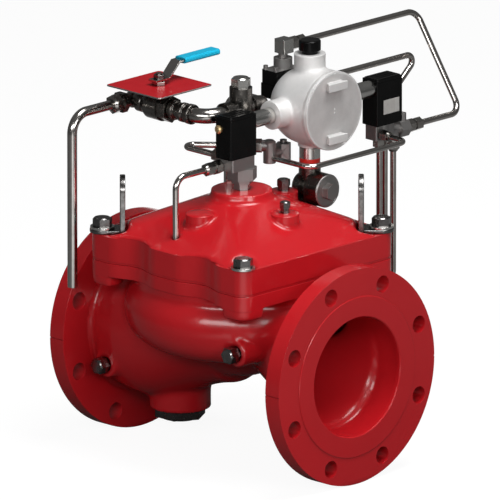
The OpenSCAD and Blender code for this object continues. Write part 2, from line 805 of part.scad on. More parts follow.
module tee_plug() color(steel) translate([line_x, tee_y, line_z]) {
  translate([0, 0, tee_top - 15]) cylinder(r = 9, h = 16);
  translate([0, 0, tee_top + 0.4]) hex(22, 11);
  translate([0, 0, tee_top + 11.4]) cylinder(r1 = 11, r2 = 9.5, h = 1.5);
}

module priming_tube() color(steel)
  bent_tube([[line_x - 10, priming_at.y, line_z], [priming_at.x, priming_at.y, line_z],
    [priming_at.x, priming_at.y, roof_z - 8]], supply_r, supply_r - 1.5, 20);

// Pilot solenoid on the cover boss

module pilot_base() color(dark_steel) difference() {
  union() {
    translate([cx, 0, boss_z - 8]) cylinder(r = nipple_r, h = 20);
    translate([cx, 0, boss_z]) hex(18, 8);
    translate([cx, 0, boss_z + 7.5]) hex(23, 6);
    translate([cx, 0, boss_z + 13]) hex(34, 15);
    translate([cx, pilot_y, boss_z + 28]) block([coil_w, 40, coil_z - boss_z - 28], 2);
    translate([cx, pilot_y, coil_z - 1]) cylinder(r = plunger_r + 2, h = 36);
  }
  translate([cx, pilot_y, coil_z - 8]) cylinder(r = plunger_r + fit, h = 40);
  translate([cx, 0, boss_z - 9]) cylinder(r = 3, h = port_z - boss_z + 9);
  translate([cx, pilot_y, port_z]) cylinder(r = 1.5, h = coil_z - port_z);
  to_y([cx, -21, port_z]) cylinder(r = 3, h = 21);
  to_y([cover_tube_x, pilot_y - 21, port_z]) cylinder(r = 3, h = 17);
  to_x([cover_tube_x, -20, port_z]) cylinder(r = 2, h = cx - cover_tube_x);
  to_x([cx - coil_w / 2 - 1, pilot_y + 2, pilot_tube_z]) cylinder(r = 3, h = 15);
}

module coil_body(y, depth, z, h) {
  difference() {
    translate([cx, y, z]) block([coil_w, depth, h], 2.5);
    translate([cx, y, z - 1]) cylinder(r = plunger_r + 2 + fit, h = 37);
  }
}

module pilot_coil() color(black) difference() {
  coil_body(pilot_y, coil_depth, coil_z, coil_h);
  to_y([cx - 7, pilot_y - coil_depth / 2 - 1, button_z]) cylinder(r = button_r + fit, h = 7);
}

button_r = 5.5;
button_travel = 2;
button_z = coil_z + 38;

module override_button() color(brass) to_y([cx - 7, pilot_y - coil_depth / 2 - 4, button_z]) {
  cylinder(r1 = 3.5, r2 = button_r, h = 2);
  translate([0, 0, 2]) cylinder(r = button_r, h = 5);
}

module plunger(y, z) {
  translate([cx, y, z]) {
    cylinder(r = plunger_r, h = 22);
    translate([0, 0, -2]) cylinder(r1 = 2, r2 = 4, h = 2);
  }
}

module pilot_plunger() color(silver) plunger(pilot_y, coil_z - 5);

// Remote solenoid on the far side of the junction box
remote_base_z = 222;
remote_coil_z = 243;
remote_depth = 46;
remote_port_z = 227;

module remote_base() color(dark_steel) difference() {
  union() {
    translate([cx - 4, remote_y, remote_base_z]) block([20, 34, remote_coil_z - remote_base_z], 2);
    translate([cx, remote_y, remote_coil_z - 12]) cylinder(r = plunger_r + 2, h = 48);
    to_y([cx - 4, remote_y + 10, remote_port_z]) cylinder(r = 7, h = 24);
    to_y([cx - 4, remote_y + 31, remote_port_z]) hex(20, remote_tee_y - remote_y - 31);
    translate([cx - 4, drop_b_y, remote_port_z - 13]) cylinder(r = 7, h = 13);
    translate([cx - 4, remote_y + 39, remote_port_z]) hex(11, 20);
  }
  translate([cx, remote_y, remote_coil_z - 8]) cylinder(r = plunger_r + fit, h = 40);
  to_y([cx - 4, remote_y - 2, remote_port_z]) cylinder(r = 3, h = 60);
  translate([cx - 4, drop_b_y, remote_port_z - 14]) cylinder(r = 3, h = 14);
  translate([cx - 4, remote_y - 1, remote_base_z - 1]) cylinder(r = 3, h = 10);
  to_x([cx - 5, remote_y - 8, cross_z]) cylinder(r = 3, h = 20);
}

module remote_coil() color(black) coil_body(remote_y, remote_depth, remote_coil_z, 57);

module remote_plunger() color(silver) plunger(remote_y, remote_coil_z - 5);

// Ridged caps on both coils
module coil_caps() color(black)
  for (c = [[pilot_y, coil_depth, coil_z + coil_h], [remote_y, remote_depth, remote_coil_z + 57]])
    translate([cx, c[0], c[2]]) {
      block([coil_w, c[1], 3], 2.5);
      translate([0, 0, 3]) block([coil_w - 4, c[1] - 4, 1.5], 2);
      for (i = [-1 : 1]) translate([i * 6 - 1, 6 - c[1] / 2, 4.5]) cube([2, c[1] - 12, 1]);
    }

// Conduit nipples between the junction box and the three electric devices
module conduit_nipples() color(steel) {
  left_from = pilot_y + coil_depth / 2;
  right_to = remote_y - remote_depth / 2;
  to_y([cx, left_from, box_z]) ring(10.5, 8, box_y - hub_reach - left_from);
  to_y([cx, box_y + hub_reach, box_z]) ring(11, 8, right_to - box_y - hub_reach);
  to_x([switch_x + coil_w / 2, switch_y - 9, box_z + 8]) ring(8, 5, back_hub_x - switch_x - coil_w / 2);
}

back_hub_x = cx - 53;
cover_face_x = cx + 35;

// A half ball that runs on into a short drum, revolved about the X axis
module shell_form(r, h) to_x([cx, box_y, box_z]) rotate_extrude($fn = 96) intersection() {
  union() {
    circle(r);
    translate([0, 0]) square([r, h]);
  }
  translate([0, -r]) square([r, r + h]);
}

module box_shell() color(silver) difference() {
  union() {
    shell_form(box_r, cover_face_x - cx);
    to_y([cx, box_y - hub_reach, box_z]) cylinder(r = 18.5, h = 40);
    to_y([cx, box_y + hub_reach - 40, box_z]) cylinder(r = 18.5, h = 40);
    translate([cx, box_y, box_z + 30]) cylinder(r = 20, h = 38);
    translate([cx, box_y, box_z - 53]) cylinder(r = 15, h = 20);
    to_x([back_hub_x, switch_y - 9, box_z + 8]) cylinder(r = 13, h = 20);
  }
  difference() {
    shell_form(box_r - box_wall, cover_face_x - cx + 1);
    to_x([cx - 52, box_y, box_z]) cylinder(r = 9, h = 30);
  }
  to_y([cx, box_y - hub_reach - 1, box_z]) cylinder(r = 8, h = 2 * hub_reach + 2);
  translate([cx, box_y, box_z]) cylinder(r = 10 + fit, h = 70);
  to_x([back_hub_x - 1, switch_y - 9, box_z + 8]) cylinder(r = 5, h = 30);
}

module box_cover() color(silver) difference() {
  union() {
    to_x([cover_face_x, box_y, box_z]) cylinder(r = box_r + 0.6, h = 8, $fn = 96);
    to_x([cover_face_x - 9, box_y, box_z]) cylinder(r = box_r - box_wall - fit, h = 10, $fn = 96);
    for (z = [-35.5, 33])
      translate([cover_face_x + 7, box_y, box_z + z]) rotate([90, 0, 90]) cover_lug();
  }
  to_x([cover_face_x - 10, box_y, box_z]) cylinder(r = box_r - box_wall - 5, h = 14, $fn = 96);
}

// A lug to turn the cover by, with faces that lean in
module cover_lug() {
  difference() {
    translate([-lug_l / 2, -5.5, 0]) cube([lug_l, 11, 9]);
    for (turn = [0, 180])
      rotate([0, 0, turn]) translate([lug_l / 2 - 2, -6, 9]) rotate([0, 30, 0]) translate([0, 0, -14])
        cube([14, 12, 28]);
  }
}

lug_l = 38;

module box_plug() color(black) translate([cx, box_y, box_z + 68]) {
  translate([0, 0, -8]) cylinder(r = 10, h = 13);
  translate([0, 0, 4]) cylinder(r = 14, h = 12);
  translate([0, 0, 16]) cylinder(r1 = 14, r2 = 12.5, h = 1.5);
}

module terminal_block() color(black) translate([cx - 22, box_y - 22, box_z - 9]) {
  difference() {
    cube([10, 44, 18]);
    for (i = [0 : 5]) translate([6, 3 + i * 7, -1]) cube([5, 3, 20]);
  }
}

// Pillar, collar and side filter that carry the junction box
collar_z = box_z - 78;

module pillar() color(steel) translate([cx, box_y, 0]) {
  translate([0, 0, collar_z + 10]) ring(pillar_r, pillar_r - 3, box_z - 53 - collar_z - 10);
}

module pillar_collar() color(red)
  translate([cx, box_y, collar_z]) ring(pillar_r, pillar_r - 3, 10);

filter_z = 184.5;
filter_seat = 14;

module filter_body() color(dark_steel) difference() {
  union() {
    translate([cx, box_y, roof_z - 8]) cylinder(r = filter_neck_r, h = 40);
    translate([cx, box_y, roof_z + filter_seat]) cylinder(r = 14, h = collar_z - roof_z - filter_seat);
    to_x([cx - 16, box_y, filter_z]) cylinder(r = 16, h = 16);
    to_x([cx - 5, box_y, filter_z]) cylinder(r = 23, h = 6);
    to_x([cx, box_y, filter_z]) cylinder(r = 17, h = 9);
  }
  translate([cx, box_y, roof_z - 9]) cylinder(r = 5, h = 60);
}

module filter_cap() color(dark_steel) difference() {
  union() {
    to_x([cx + 9, box_y, filter_z]) cylinder(r = 21.5, h = 22);
    to_x([cx + 31, box_y, filter_z]) cylinder(r1 = 21.5, r2 = 20, h = 1.5);
    to_x([cx + 31, box_y, filter_z]) hex(20, 10);
  }
  to_x([cx + 32, box_y, filter_z]) difference() {
    cylinder(r = 18.5, h = 2);
    hex(20, 3);
  }
  translate([cx, box_y, roof_z]) cylinder(r = 14 + fit, h = 80);
}

// Pressure switch behind the junction box
switch_low = 285;

module pressure_switch() color(dark_steel) translate([switch_x, switch_y, 0]) difference() {
  union() {
    translate([0, 0, switch_low]) block([coil_w, 45, 18], 2);
    translate([0, 0, switch_low + 18]) block([coil_w - 2, 43, 18], 2);
    translate([0, 4, switch_low + 35]) cylinder(r = 12, h = 14);
    translate([0, 4, switch_low + 49]) cylinder(r = 6, h = 7);
    translate([0, 6, switch_low + 55]) block([18, 18, 18], 1.5);
    for (x = [-9, 9]) translate([x, -18, switch_low + 36]) cylinder(r = 3, h = 5);
  }
  to_y([0, 10, switch_low + 8]) cylinder(r = 3, h = 20);
  to_y([0, 5, switch_low + 64]) cylinder(r = 3, h = 20);
  translate([0, 4, switch_low + 40]) cylinder(r = 3, h = 28);
}

// Needle valve that joins the pilot tubes
cross_z = 229;
needle_dir = unit([pilot_tip_x - needle_at.x, pilot_y + 2 - needle_at.y, 0]);

module needle_valve() color(dark_steel) difference() {
  union() {
    translate([needle_at.x, needle_at.y, 222]) cylinder(r = 8, h = 27);
    translate([needle_at.x, needle_at.y, 249]) cylinder(r1 = 8, r2 = 5.5, h = 2.5);
    to_y([needle_at.x, needle_at.y, 233]) cylinder(r = 6, h = 20);
    to_dir([needle_at.x, needle_at.y, pilot_tube_z], needle_dir) cylinder(r = 7.5, h = 9.5);
    translate([needle_at.x, needle_at.y + 25, 220]) hex(17, 23);
  }
  translate([needle_at.x, needle_at.y, 225]) cylinder(r = 3, h = pilot_tube_z - 222);
  to_x([needle_at.x, needle_at.y, cross_z]) cylinder(r = cross_r - 1, h = 20);
  to_x([needle_at.x + 6, needle_at.y, cross_z]) cylinder(r = cross_r + fit, h = 20);
  to_dir([needle_at.x, needle_at.y, pilot_tube_z], needle_dir) cylinder(r = 2.5, h = 12);
  translate([needle_at.x, needle_at.y + 25, 228]) cylinder(r = 2.5 + fit, h = 20);
}

module needle_screw() color(steel) translate([needle_at.x, needle_at.y + 25, 0]) difference() {
  union() {
    translate([0, 0, 232]) cylinder(r = 2.5, h = 14);
    translate([0, 0, 243.35]) cylinder(r = 4.5, h = 4);
  }
  translate([-0.6, -5, 246]) cube([1.2, 10, 3]);
}

cross_r = 3.5;

// Pilot tubes and their couplings. Each end is [port face, direction away from it]
switch_port_y = switch_y + 22.5;
switch_top_port_y = switch_y + 15;
remote_tee_y = remote_y + 47;
needle_face = [needle_at.x, needle_at.y, pilot_tube_z] + 9.5 * needle_dir;
tube_ends = [
  [[cover_tube_x, pilot_y - 20, port_z], [0, -1, 0]],
  [[cx - coil_w / 2, pilot_y + 2, pilot_tube_z], [-1, 0, 0]],
  [needle_face, needle_dir],
  [[switch_x, switch_port_y, switch_low + 8], [0, 1, 0]],
  [[switch_x, switch_top_port_y, switch_low + 64], [0, 1, 0]],
  [[cx - 4, remote_tee_y, remote_port_z], [0, 1, 0]],
  [[wall_ports[0].x, wall_port_y, wall_ports[0].y], [0, 1, 0]],
  [[wall_ports[1].x, wall_port_y, wall_ports[1].y], [0, 1, 0]],
  [[wall_ports[2].x, wall_port_y, wall_ports[2].y], [0, 1, 0]]
];
function tube_start(i) = tube_ends[i][0] + unit(tube_ends[i][1]) * socket_in;

module port_connectors() color(steel)
  for (e = tube_ends) to_dir(e[0], e[1]) difference() {
    union() {
      hex(16, connector_len - 3);
      translate([0, 0, connector_len - 3]) cylinder(r = 7, h = 3);
    }
    translate([0, 0, -1]) cylinder(r = 3, h = connector_len + 2);
    translate([0, 0, socket_in]) cylinder(r = tube_r + fit, h = connector_len);
  }

module tube_nut(af, r) difference() {
  union() {
    hex(af, nut_len - 3);
    translate([0, 0, nut_len - 3]) cylinder(r1 = af / 2 - 0.5, r2 = r + 1.5, h = 3);
  }
  translate([0, 0, -1]) cylinder(r = r + fit, h = nut_len + 2);
}

module tube_nuts() color(steel) {
  for (e = tube_ends) to_dir(e[0] + unit(e[1]) * connector_len, e[1]) tube_nut(15, tube_r);
  for (e = drop_ends) to_dir(e, [0, 0, -1]) tube_nut(15, tube_r);
  to_dir([supply_x, line_y - 25, line_z], [0, -1, 0]) tube_nut(22, supply_r);
  to_dir([cx + 8.3, remote_y - 8, cross_z], [1, 0, 0]) tube_nut(13, cross_r);
}

pilot_vertex = [pilot_tip_x, pilot_y + 2, pilot_tube_z];
loop_high = switch_low + 64;
loop_spread = 9.6;
return_z = switch_low + 8;
return_tip_y = loop_y + 8;
return_y = loop_y - 56;
drop_a_y = remote_y - 1;
drop_b_y = remote_y + 24;

drop_ends = [[cx - 4, drop_a_y, remote_base_z], [cx - 4, drop_b_y, remote_port_z - 13]];

module pilot_tube(points, bend) bent_tube(points, tube_r, tube_r - tube_wall, bend);

module cover_tubes() color(steel) {
  pilot_tube([tube_start(0), [cover_tube_x, cover_tube_y, port_z],
    [cover_tube_x, cover_tube_y, roof_z - 8]], 16);
  pilot_tube([tube_start(1), pilot_vertex, tube_start(2)], 9);
}

module loop_tube() color(steel)
  pilot_tube([tube_start(4), [switch_x, loop_y, loop_high],
    [cx - 4, loop_y + loop_spread, remote_port_z], tube_start(5)], 16);

module return_tube() color(steel)
  pilot_tube([tube_start(3), [switch_x, return_tip_y, return_z], [switch_x, return_y, return_z - 56],
    [switch_x, return_y, wall_ports[0].y], tube_start(6)], 9);

module drop_tubes() color(steel) {
  pilot_tube([drop_ends[0], [cx - 4, drop_a_y, wall_ports[1].y], tube_start(7)], 16);
  pilot_tube([drop_ends[1], [cx - 4, drop_b_y, wall_ports[2].y], tube_start(8)], 16);
}

module cross_tube() color(steel)
  bent_tube([[needle_at.x + 6, needle_at.y, cross_z], [cx + 52, needle_at.y, cross_z],
    [cx + 52, remote_y - 8, cross_z], [cx + 6, remote_y - 8, cross_z]], cross_r, cross_r - 1, 14);

body_casting();
seat_ring();
diaphragm();
cover_casting();
cover_bush();
cover_bolts();
cover_washers();
lifting_lugs();
drain_plug();
boss_plugs();
port_connectors();
tube_nuts();
stem();
closing_disc();
disc_seal();
clamp_plates();
stem_nut();
main_spring();
supply_tube();
inlet_elbow();
ball_valve_body();
valve_end_cap();
ball_seats();
ball();
valve_stem();
gland_nut();
lever();
lever_grip();
lever_nut();
tag_plate();
line_elbow();
line_pipe();
line_tee();
tee_plug();
priming_tube();
pilot_base();
pilot_coil();
pilot_plunger();
override_button();
remote_base();
remote_coil();
remote_plunger();
coil_caps();
conduit_nipples();
box_shell();
box_cover();
box_plug();
terminal_block();
pillar();
pillar_collar();
filter_body();
filter_cap();
pressure_switch();
needle_valve();
needle_screw();
cover_tubes();
cross_tube();
loop_tube();
return_tube();
drop_tubes();
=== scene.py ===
"""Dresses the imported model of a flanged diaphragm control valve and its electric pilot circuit."""

from __future__ import annotations

import json
import logging
import math
from abc import ABC, abstractmethod
from dataclasses import dataclass, field
from enum import Enum
from typing import Callable, Sequence

import bmesh
import bpy
from mathutils import Matrix, Vector

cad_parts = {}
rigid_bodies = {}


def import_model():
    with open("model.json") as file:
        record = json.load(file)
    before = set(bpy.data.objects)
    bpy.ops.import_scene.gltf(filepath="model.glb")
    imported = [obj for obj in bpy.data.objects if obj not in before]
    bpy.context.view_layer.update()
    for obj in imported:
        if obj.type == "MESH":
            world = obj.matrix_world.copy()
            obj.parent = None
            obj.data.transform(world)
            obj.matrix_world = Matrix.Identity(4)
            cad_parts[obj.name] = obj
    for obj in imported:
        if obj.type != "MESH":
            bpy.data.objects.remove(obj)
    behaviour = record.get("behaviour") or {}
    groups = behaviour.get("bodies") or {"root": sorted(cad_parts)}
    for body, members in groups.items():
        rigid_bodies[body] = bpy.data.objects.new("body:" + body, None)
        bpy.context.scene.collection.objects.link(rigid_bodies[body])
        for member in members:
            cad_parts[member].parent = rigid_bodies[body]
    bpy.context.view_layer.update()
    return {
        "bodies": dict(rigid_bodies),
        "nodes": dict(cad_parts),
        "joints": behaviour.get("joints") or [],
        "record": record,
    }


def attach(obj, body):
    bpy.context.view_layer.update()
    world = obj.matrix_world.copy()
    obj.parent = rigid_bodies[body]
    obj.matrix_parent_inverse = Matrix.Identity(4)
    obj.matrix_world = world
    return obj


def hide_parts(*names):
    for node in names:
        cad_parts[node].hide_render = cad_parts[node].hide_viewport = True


LOG = logging.getLogger("valve")
MM = 0.001
FULL_TURN = 2.0 * math.pi
VALVE = "valve_body"
LEVER = "isolating_lever"
Point = tuple[float, float, float]
Colour = tuple[float, float, float]
Box = tuple[Point, Point]

# How meshes are joined, flattened and shaded: metres, and angles in degrees
JOIN_WITHIN = 2e-6
FLAT_WITHIN = 0.5
SHARP_FROM = 35.0

# Sizes that several pieces share, in mm
FACE_TO_FACE = 406.4
MIDDLE_X = FACE_TO_FACE / 2.0
COVER_BOLT_OFFSET = 124.0
RAISED = 1.1
BEYOND = 300.0
BOX_MIDDLE = (122.0, 291.0)
BOX_FACE_X = 246.2
FLOOR_Z = -139.8


# Finishes


class Surface(Enum):
    """What a surface is; the value is how metallic it shades."""

    COVERED = 0.0
    OXIDISED = 0.3
    BLASTED = 0.35
    BARE_METAL = 1.0


def socket(group: bpy.types.NodeTree, name: str, side: str, kind: str, value: float | None = None) -> None:
    """Adds a named socket to a node group.

    Args:
        group: the node group.
        name: the socket's name.
        side: INPUT or OUTPUT.
        kind: the socket's type.
        value: the default of a number input.
    """
    made = group.interface.new_socket(name=name, in_out=side, socket_type=kind)
    if value is not None:
        made.default_value = value


def mottle_group() -> bpy.types.NodeTree:
    """Builds, once, the group that gives slow patches as a mask and fine grain as a height.

    Returns:
        The node group.
    """
    name = "patches_and_grain"
    if name in bpy.data.node_groups:
        return bpy.data.node_groups[name]
    group = bpy.data.node_groups.new(name, "ShaderNodeTree")
    socket(group, "Vector", "INPUT", "NodeSocketVector")
    socket(group, "Patch scale", "INPUT", "NodeSocketFloat", 20.0)
    socket(group, "Grain scale", "INPUT", "NodeSocketFloat", 900.0)
    socket(group, "Patch", "OUTPUT", "NodeSocketFloat")
    socket(group, "Grain", "OUTPUT", "NodeSocketFloat")
    nodes, links = group.nodes, group.links
    inside = nodes.new("NodeGroupInput")
    outside = nodes.new("NodeGroupOutput")
    patch = nodes.new("ShaderNodeTexNoise")
    patch.inputs["Detail"].default_value = 5.0
    patch.inputs["Roughness"].default_value = 0.6
    spread = nodes.new("ShaderNodeMapRange")
    spread.inputs["From Min"].default_value = 0.3
    spread.inputs["From Max"].default_value = 0.7
    grain = nodes.new("ShaderNodeTexNoise")
    grain.inputs["Detail"].default_value = 3.0
    links.new(inside.outputs["Vector"], patch.inputs["Vector"])
    links.new(inside.outputs["Patch scale"], patch.inputs["Scale"])
    links.new(inside.outputs["Vector"], grain.inputs["Vector"])
    links.new(inside.outputs["Grain scale"], grain.inputs["Scale"])
    links.new(patch.outputs["Fac"], spread.inputs["Value"])
    links.new(spread.outputs["Result"], outside.inputs["Patch"])
    links.new(grain.outputs["Fac"], outside.inputs["Grain"])
    return group


def corner_shade_group() -> bpy.types.NodeTree:
    """Builds, once, the group that gives the mask of painted shade: 1 in corners, where shade falls, and 0 in
    the open.

    Returns:
        The node group.
    """
    name = "crevice"
    if name in bpy.data.node_groups:
        return bpy.data.node_groups[name]
    group = bpy.data.node_groups.new(name, "ShaderNodeTree")
    socket(group, "Reach", "INPUT", "NodeSocketFloat", 0.006)
    socket(group, "Mask", "OUTPUT", "NodeSocketFloat")
    nodes, links = group.nodes, group.links
    inside = nodes.new("NodeGroupInput")
    outside = nodes.new("NodeGroupOutput")
    shade = nodes.new("ShaderNodeAmbientOcclusion")
    shade.samples = 4
    corner, open_side = 0.35, 0.95
    flip = nodes.new("ShaderNodeMapRange")
    flip.inputs["From Min"].default_value = corner
    flip.inputs["From Max"].default_value = open_side
    flip.inputs["To Min"].default_value = 1.0
    flip.inputs["To Max"].default_value = 0.0
    links.new(inside.outputs["Reach"], shade.inputs["Distance"])
    links.new(shade.outputs["AO"], flip.inputs["Value"])
    links.new(flip.outputs["Result"], outside.inputs["Mask"])
    return group


@dataclass(frozen=True)
class Finish:
    """One finish: two close colours that mix in patches, painted shade in corners, and a roughness range."""

    name: str
    colour: Colour
    patch_colour: Colour
    surface: Surface
    rough: tuple[float, float]
    coat: float = 0.0
    coat_rough: float = 0.1
    specular: float = 0.5
    patch_scale: float = 25.0
    grain_scale: float = 900.0
    grain_depth: float = 0.00006
    # How much shade is painted into corners, and how far the corner mask reaches.
    crevice: float = 0.5
    corner_shade_reach: float = 0.006

    def material(self) -> bpy.types.Material:
        """Returns the material, built on the first call."""
        if self.name in bpy.data.materials:
            return bpy.data.materials[self.name]
        made = bpy.data.materials.new(self.name)
        made.use_nodes = True
        nodes, links = made.node_tree.nodes, made.node_tree.links
        shader = nodes["Principled BSDF"]
        shader.inputs["Metallic"].default_value = self.surface.value
        shader.inputs["Coat Weight"].default_value = self.coat
        shader.inputs["Specular IOR Level"].default_value = self.specular
        shader.inputs["Coat Roughness"].default_value = self.coat_rough
        pattern = self._pattern(made)
        colour = self._colour(made, pattern)
        rough = nodes.new("ShaderNodeMapRange")
        rough.inputs["To Min"].default_value = self.rough[0]
        rough.inputs["To Max"].default_value = self.rough[1]
        bump = nodes.new("ShaderNodeBump")
        bump.inputs["Distance"].default_value = self.grain_depth
        links.new(pattern.outputs["Patch"], rough.inputs["Value"])
        links.new(pattern.outputs["Grain"], bump.inputs["Height"])
        links.new(colour.outputs["Result"], shader.inputs["Base Color"])
        links.new(rough.outputs["Result"], shader.inputs["Roughness"])
        links.new(bump.outputs["Normal"], shader.inputs["Normal"])
        return made

    def _pattern(self, made: bpy.types.Material) -> bpy.types.Node:
        """Adds the patches and the grain at this finish's scales and returns their node."""
        nodes = made.node_tree.nodes
        place = nodes.new("ShaderNodeTexCoord")
        pattern = nodes.new("ShaderNodeGroup")
        pattern.node_tree = mottle_group()
        pattern.inputs["Patch scale"].default_value = self.patch_scale
        pattern.inputs["Grain scale"].default_value = self.grain_scale
        made.node_tree.links.new(place.outputs["Object"], pattern.inputs["Vector"])
        return pattern

    def _colour(self, made: bpy.types.Material, pattern: bpy.types.Node) -> bpy.types.Node:
        """Adds the two colours in patches, with painted shade that darkens them in corners, and returns the
        last node.
        """
        nodes, links = made.node_tree.nodes, made.node_tree.links
        corners = nodes.new("ShaderNodeGroup")
        corners.node_tree = corner_shade_group()
        corners.inputs["Reach"].default_value = self.corner_shade_reach
        # Painted shade: the colour darkens in corners by the given share.
        dark = tuple(c * (1.0 - self.crevice) for c in self.colour)
        mixed = self._mix(made, self.colour, self.patch_colour)
        shaded = self._mix(made, self.colour, dark)
        links.new(pattern.outputs["Patch"], mixed.inputs["Factor"])
        links.new(corners.outputs["Mask"], shaded.inputs["Factor"])
        links.new(mixed.outputs["Result"], shaded.inputs["A"])
        return shaded

    @staticmethod
    def _mix(made: bpy.types.Material, first: Colour, second: Colour) -> bpy.types.Node:
        """Adds a colour mix node with two colours set and returns it."""
        node = made.node_tree.nodes.new("ShaderNodeMix")
        node.data_type = "RGBA"
        node.inputs["A"].default_value = (*first, 1.0)
        node.inputs["B"].default_value = (*second, 1.0)
        return node


RED = Finish("red_enamel", (0.55, 0.011, 0.0165), (0.5, 0.0095, 0.0145), Surface.COVERED, (0.2, 0.26),
             coat=0.3, coat_rough=0.07, specular=0.45, patch_scale=8.0, grain_scale=160.0,
             grain_depth=0.00015, crevice=0.5, corner_shade_reach=0.008)
PLATE_RED = Finish("red_plate_enamel", (0.46, 0.012, 0.018), (0.4, 0.01, 0.015), Surface.COVERED, (0.3, 0.4),
                   specular=0.12, grain_scale=500.0, grain_depth=0.00005)
COLLAR_RED = Finish("red_collar", (0.75, 0.03, 0.02), (0.7, 0.025, 0.016), Surface.COVERED, (0.25, 0.4),
                    coat=0.1)
TUBE = Finish("drawn_stainless", (0.66, 0.63, 0.60), (0.54, 0.51, 0.48), Surface.BARE_METAL, (0.15, 0.19),
              patch_scale=60.0, grain_scale=1800.0, grain_depth=0.000002, crevice=0.7)
FITTING = Finish("turned_stainless", (0.52, 0.50, 0.47), (0.36, 0.34, 0.32), Surface.BARE_METAL, (0.14, 0.26),
                 patch_scale=120.0, grain_scale=1500.0, grain_depth=0.000008, crevice=0.85,
                 corner_shade_reach=0.004)
CASTING = Finish("cast_stainless", (0.25, 0.235, 0.22), (0.13, 0.12, 0.11), Surface.BARE_METAL, (0.18, 0.34),
                 patch_scale=90.0, grain_scale=900.0, grain_depth=0.0001, crevice=0.85, corner_shade_reach=0.005)
DARK = Finish("dark_steel", (0.08, 0.076, 0.07), (0.045, 0.042, 0.038), Surface.BARE_METAL, (0.18, 0.32),
              patch_scale=110.0, grain_scale=1100.0, grain_depth=0.00005, crevice=0.8, corner_shade_reach=0.004)
BOLT = Finish("bolt_steel", (0.30, 0.29, 0.285), (0.17, 0.165, 0.16), Surface.BARE_METAL, (0.16, 0.3),
              patch_scale=150.0, grain_scale=1400.0, grain_depth=0.00004, crevice=0.85, corner_shade_reach=0.004)
BRIGHT = Finish("bright_zinc", (0.8, 0.79, 0.76), (0.68, 0.67, 0.64), Surface.BARE_METAL, (0.14, 0.26),
                patch_scale=80.0, grain_scale=1600.0, grain_depth=0.00002, crevice=0.7, corner_shade_reach=0.004)
ALUMINIUM = Finish("sand_cast_aluminium", (0.82, 0.81, 0.8), (0.72, 0.71, 0.7), Surface.OXIDISED, (0.36, 0.5),
                   patch_scale=40.0, grain_scale=1300.0, grain_depth=0.0003, crevice=0.35)
BLACK = Finish("black_moulding", (0.003, 0.003, 0.003), (0.005, 0.005, 0.005), Surface.COVERED, (0.14, 0.22),
               specular=0.15, patch_scale=50.0, grain_scale=2200.0, grain_depth=0.00003, crevice=0.4)
BRASS = Finish("brass", (0.55, 0.3, 0.12), (0.42, 0.22, 0.09), Surface.BARE_METAL, (0.2, 0.35))
RUBBER = Finish("black_rubber", (0.02, 0.02, 0.02), (0.03, 0.03, 0.03), Surface.COVERED, (0.6, 0.8))
GRIP = Finish("blue_vinyl", (0.015, 0.45, 0.68), (0.01, 0.41, 0.63), Surface.COVERED, (0.3, 0.42),
              specular=0.2, patch_scale=40.0, grain_scale=1500.0, grain_depth=0.00005)
WHITE = Finish("white_seat", (0.8, 0.8, 0.78), (0.74, 0.74, 0.72), Surface.COVERED, (0.4, 0.55))
LABEL = Finish("bare_label", (0.6, 0.585, 0.56), (0.5, 0.485, 0.46), Surface.OXIDISED, (0.35, 0.5),
               patch_scale=140.0)
COVER_FACE = Finish("cover_aluminium", (0.7, 0.68, 0.67), (0.6, 0.58, 0.57), Surface.BLASTED, (0.34, 0.46),
                    patch_scale=60.0, grain_scale=1300.0, grain_depth=0.0003, crevice=0.3)
# A brighter, smoother copy of the aluminium: painted highlight on the rim round the box cover; the two spots
# use it too.
RIM_HIGHLIGHT = Finish("rim_highlight_aluminium", (0.95, 0.95, 0.94), (0.9, 0.9, 0.89), Surface.OXIDISED, (0.2, 0.3), crevice=0.1)


# Mesh helpers


def aim(point: Point, direction: Point) -> Matrix:
    """Gives the place that stands +Z along a direction.

    Args:
        point: where the shape's origin goes, in mm.
        direction: where its +Z goes.

    Returns:
        The matrix, in mm.
    """
    d = Vector(direction).normalized()
    turn = Matrix.Rotation(math.atan2(d.y, d.x), 4, "Z") @ Matrix.Rotation(math.acos(d.z), 4, "Y")
    return Matrix.Translation(Vector(point)) @ turn


def lathe(profile: Sequence[tuple[float, float]], steps: int) -> bmesh.types.BMesh:
    """Spins a profile about Z.

    Args:
        profile: radius and height pairs in mm; an end at radius 0 closes the shape.
        steps: segments in the full turn.

    Returns:
        The spun mesh.
    """
    bm = bmesh.new()
    verts = [bm.verts.new((radius, 0.0, height)) for radius, height in profile]
    edges = [bm.edges.new(pair) for pair in zip(verts, verts[1:])]
    bmesh.ops.spin(bm, geom=verts + edges, cent=(0, 0, 0), axis=(0, 0, 1), angle=FULL_TURN, steps=steps,
                   use_merge=True)
    bmesh.ops.remove_doubles(bm, verts=bm.verts, dist=1e-4)
    bmesh.ops.recalc_face_normals(bm, faces=bm.faces)
    return bm


def disc_profile(radius: float, low: float, high: float, ease: float) -> list[tuple[float, float]]:
    """Gives the profile of a solid disc with eased corners, for lathe."""
    return [(0.0, low), (radius - ease, low), (radius, low + ease), (radius, high - ease),
            (radius - ease, high), (0.0, high)]


def soft_box(size: Point, ease: float, segments: int) -> bmesh.types.BMesh:
    """Makes a box with rounded edges, centred on the origin.

    Args:
        size: its three sides in mm.
        ease: radius of its edges in mm.
        segments: steps round each edge.

    Returns:
        The mesh.
    """
    bm = bmesh.new()
    bmesh.ops.create_cube(bm, size=1.0)
    bmesh.ops.scale(bm, verts=bm.verts, vec=size)
    bmesh.ops.bevel(bm, geom=bm.edges[:], offset=ease, segments=segments, affect="EDGES", profile=0.5,
                    material=-1)
    return bm


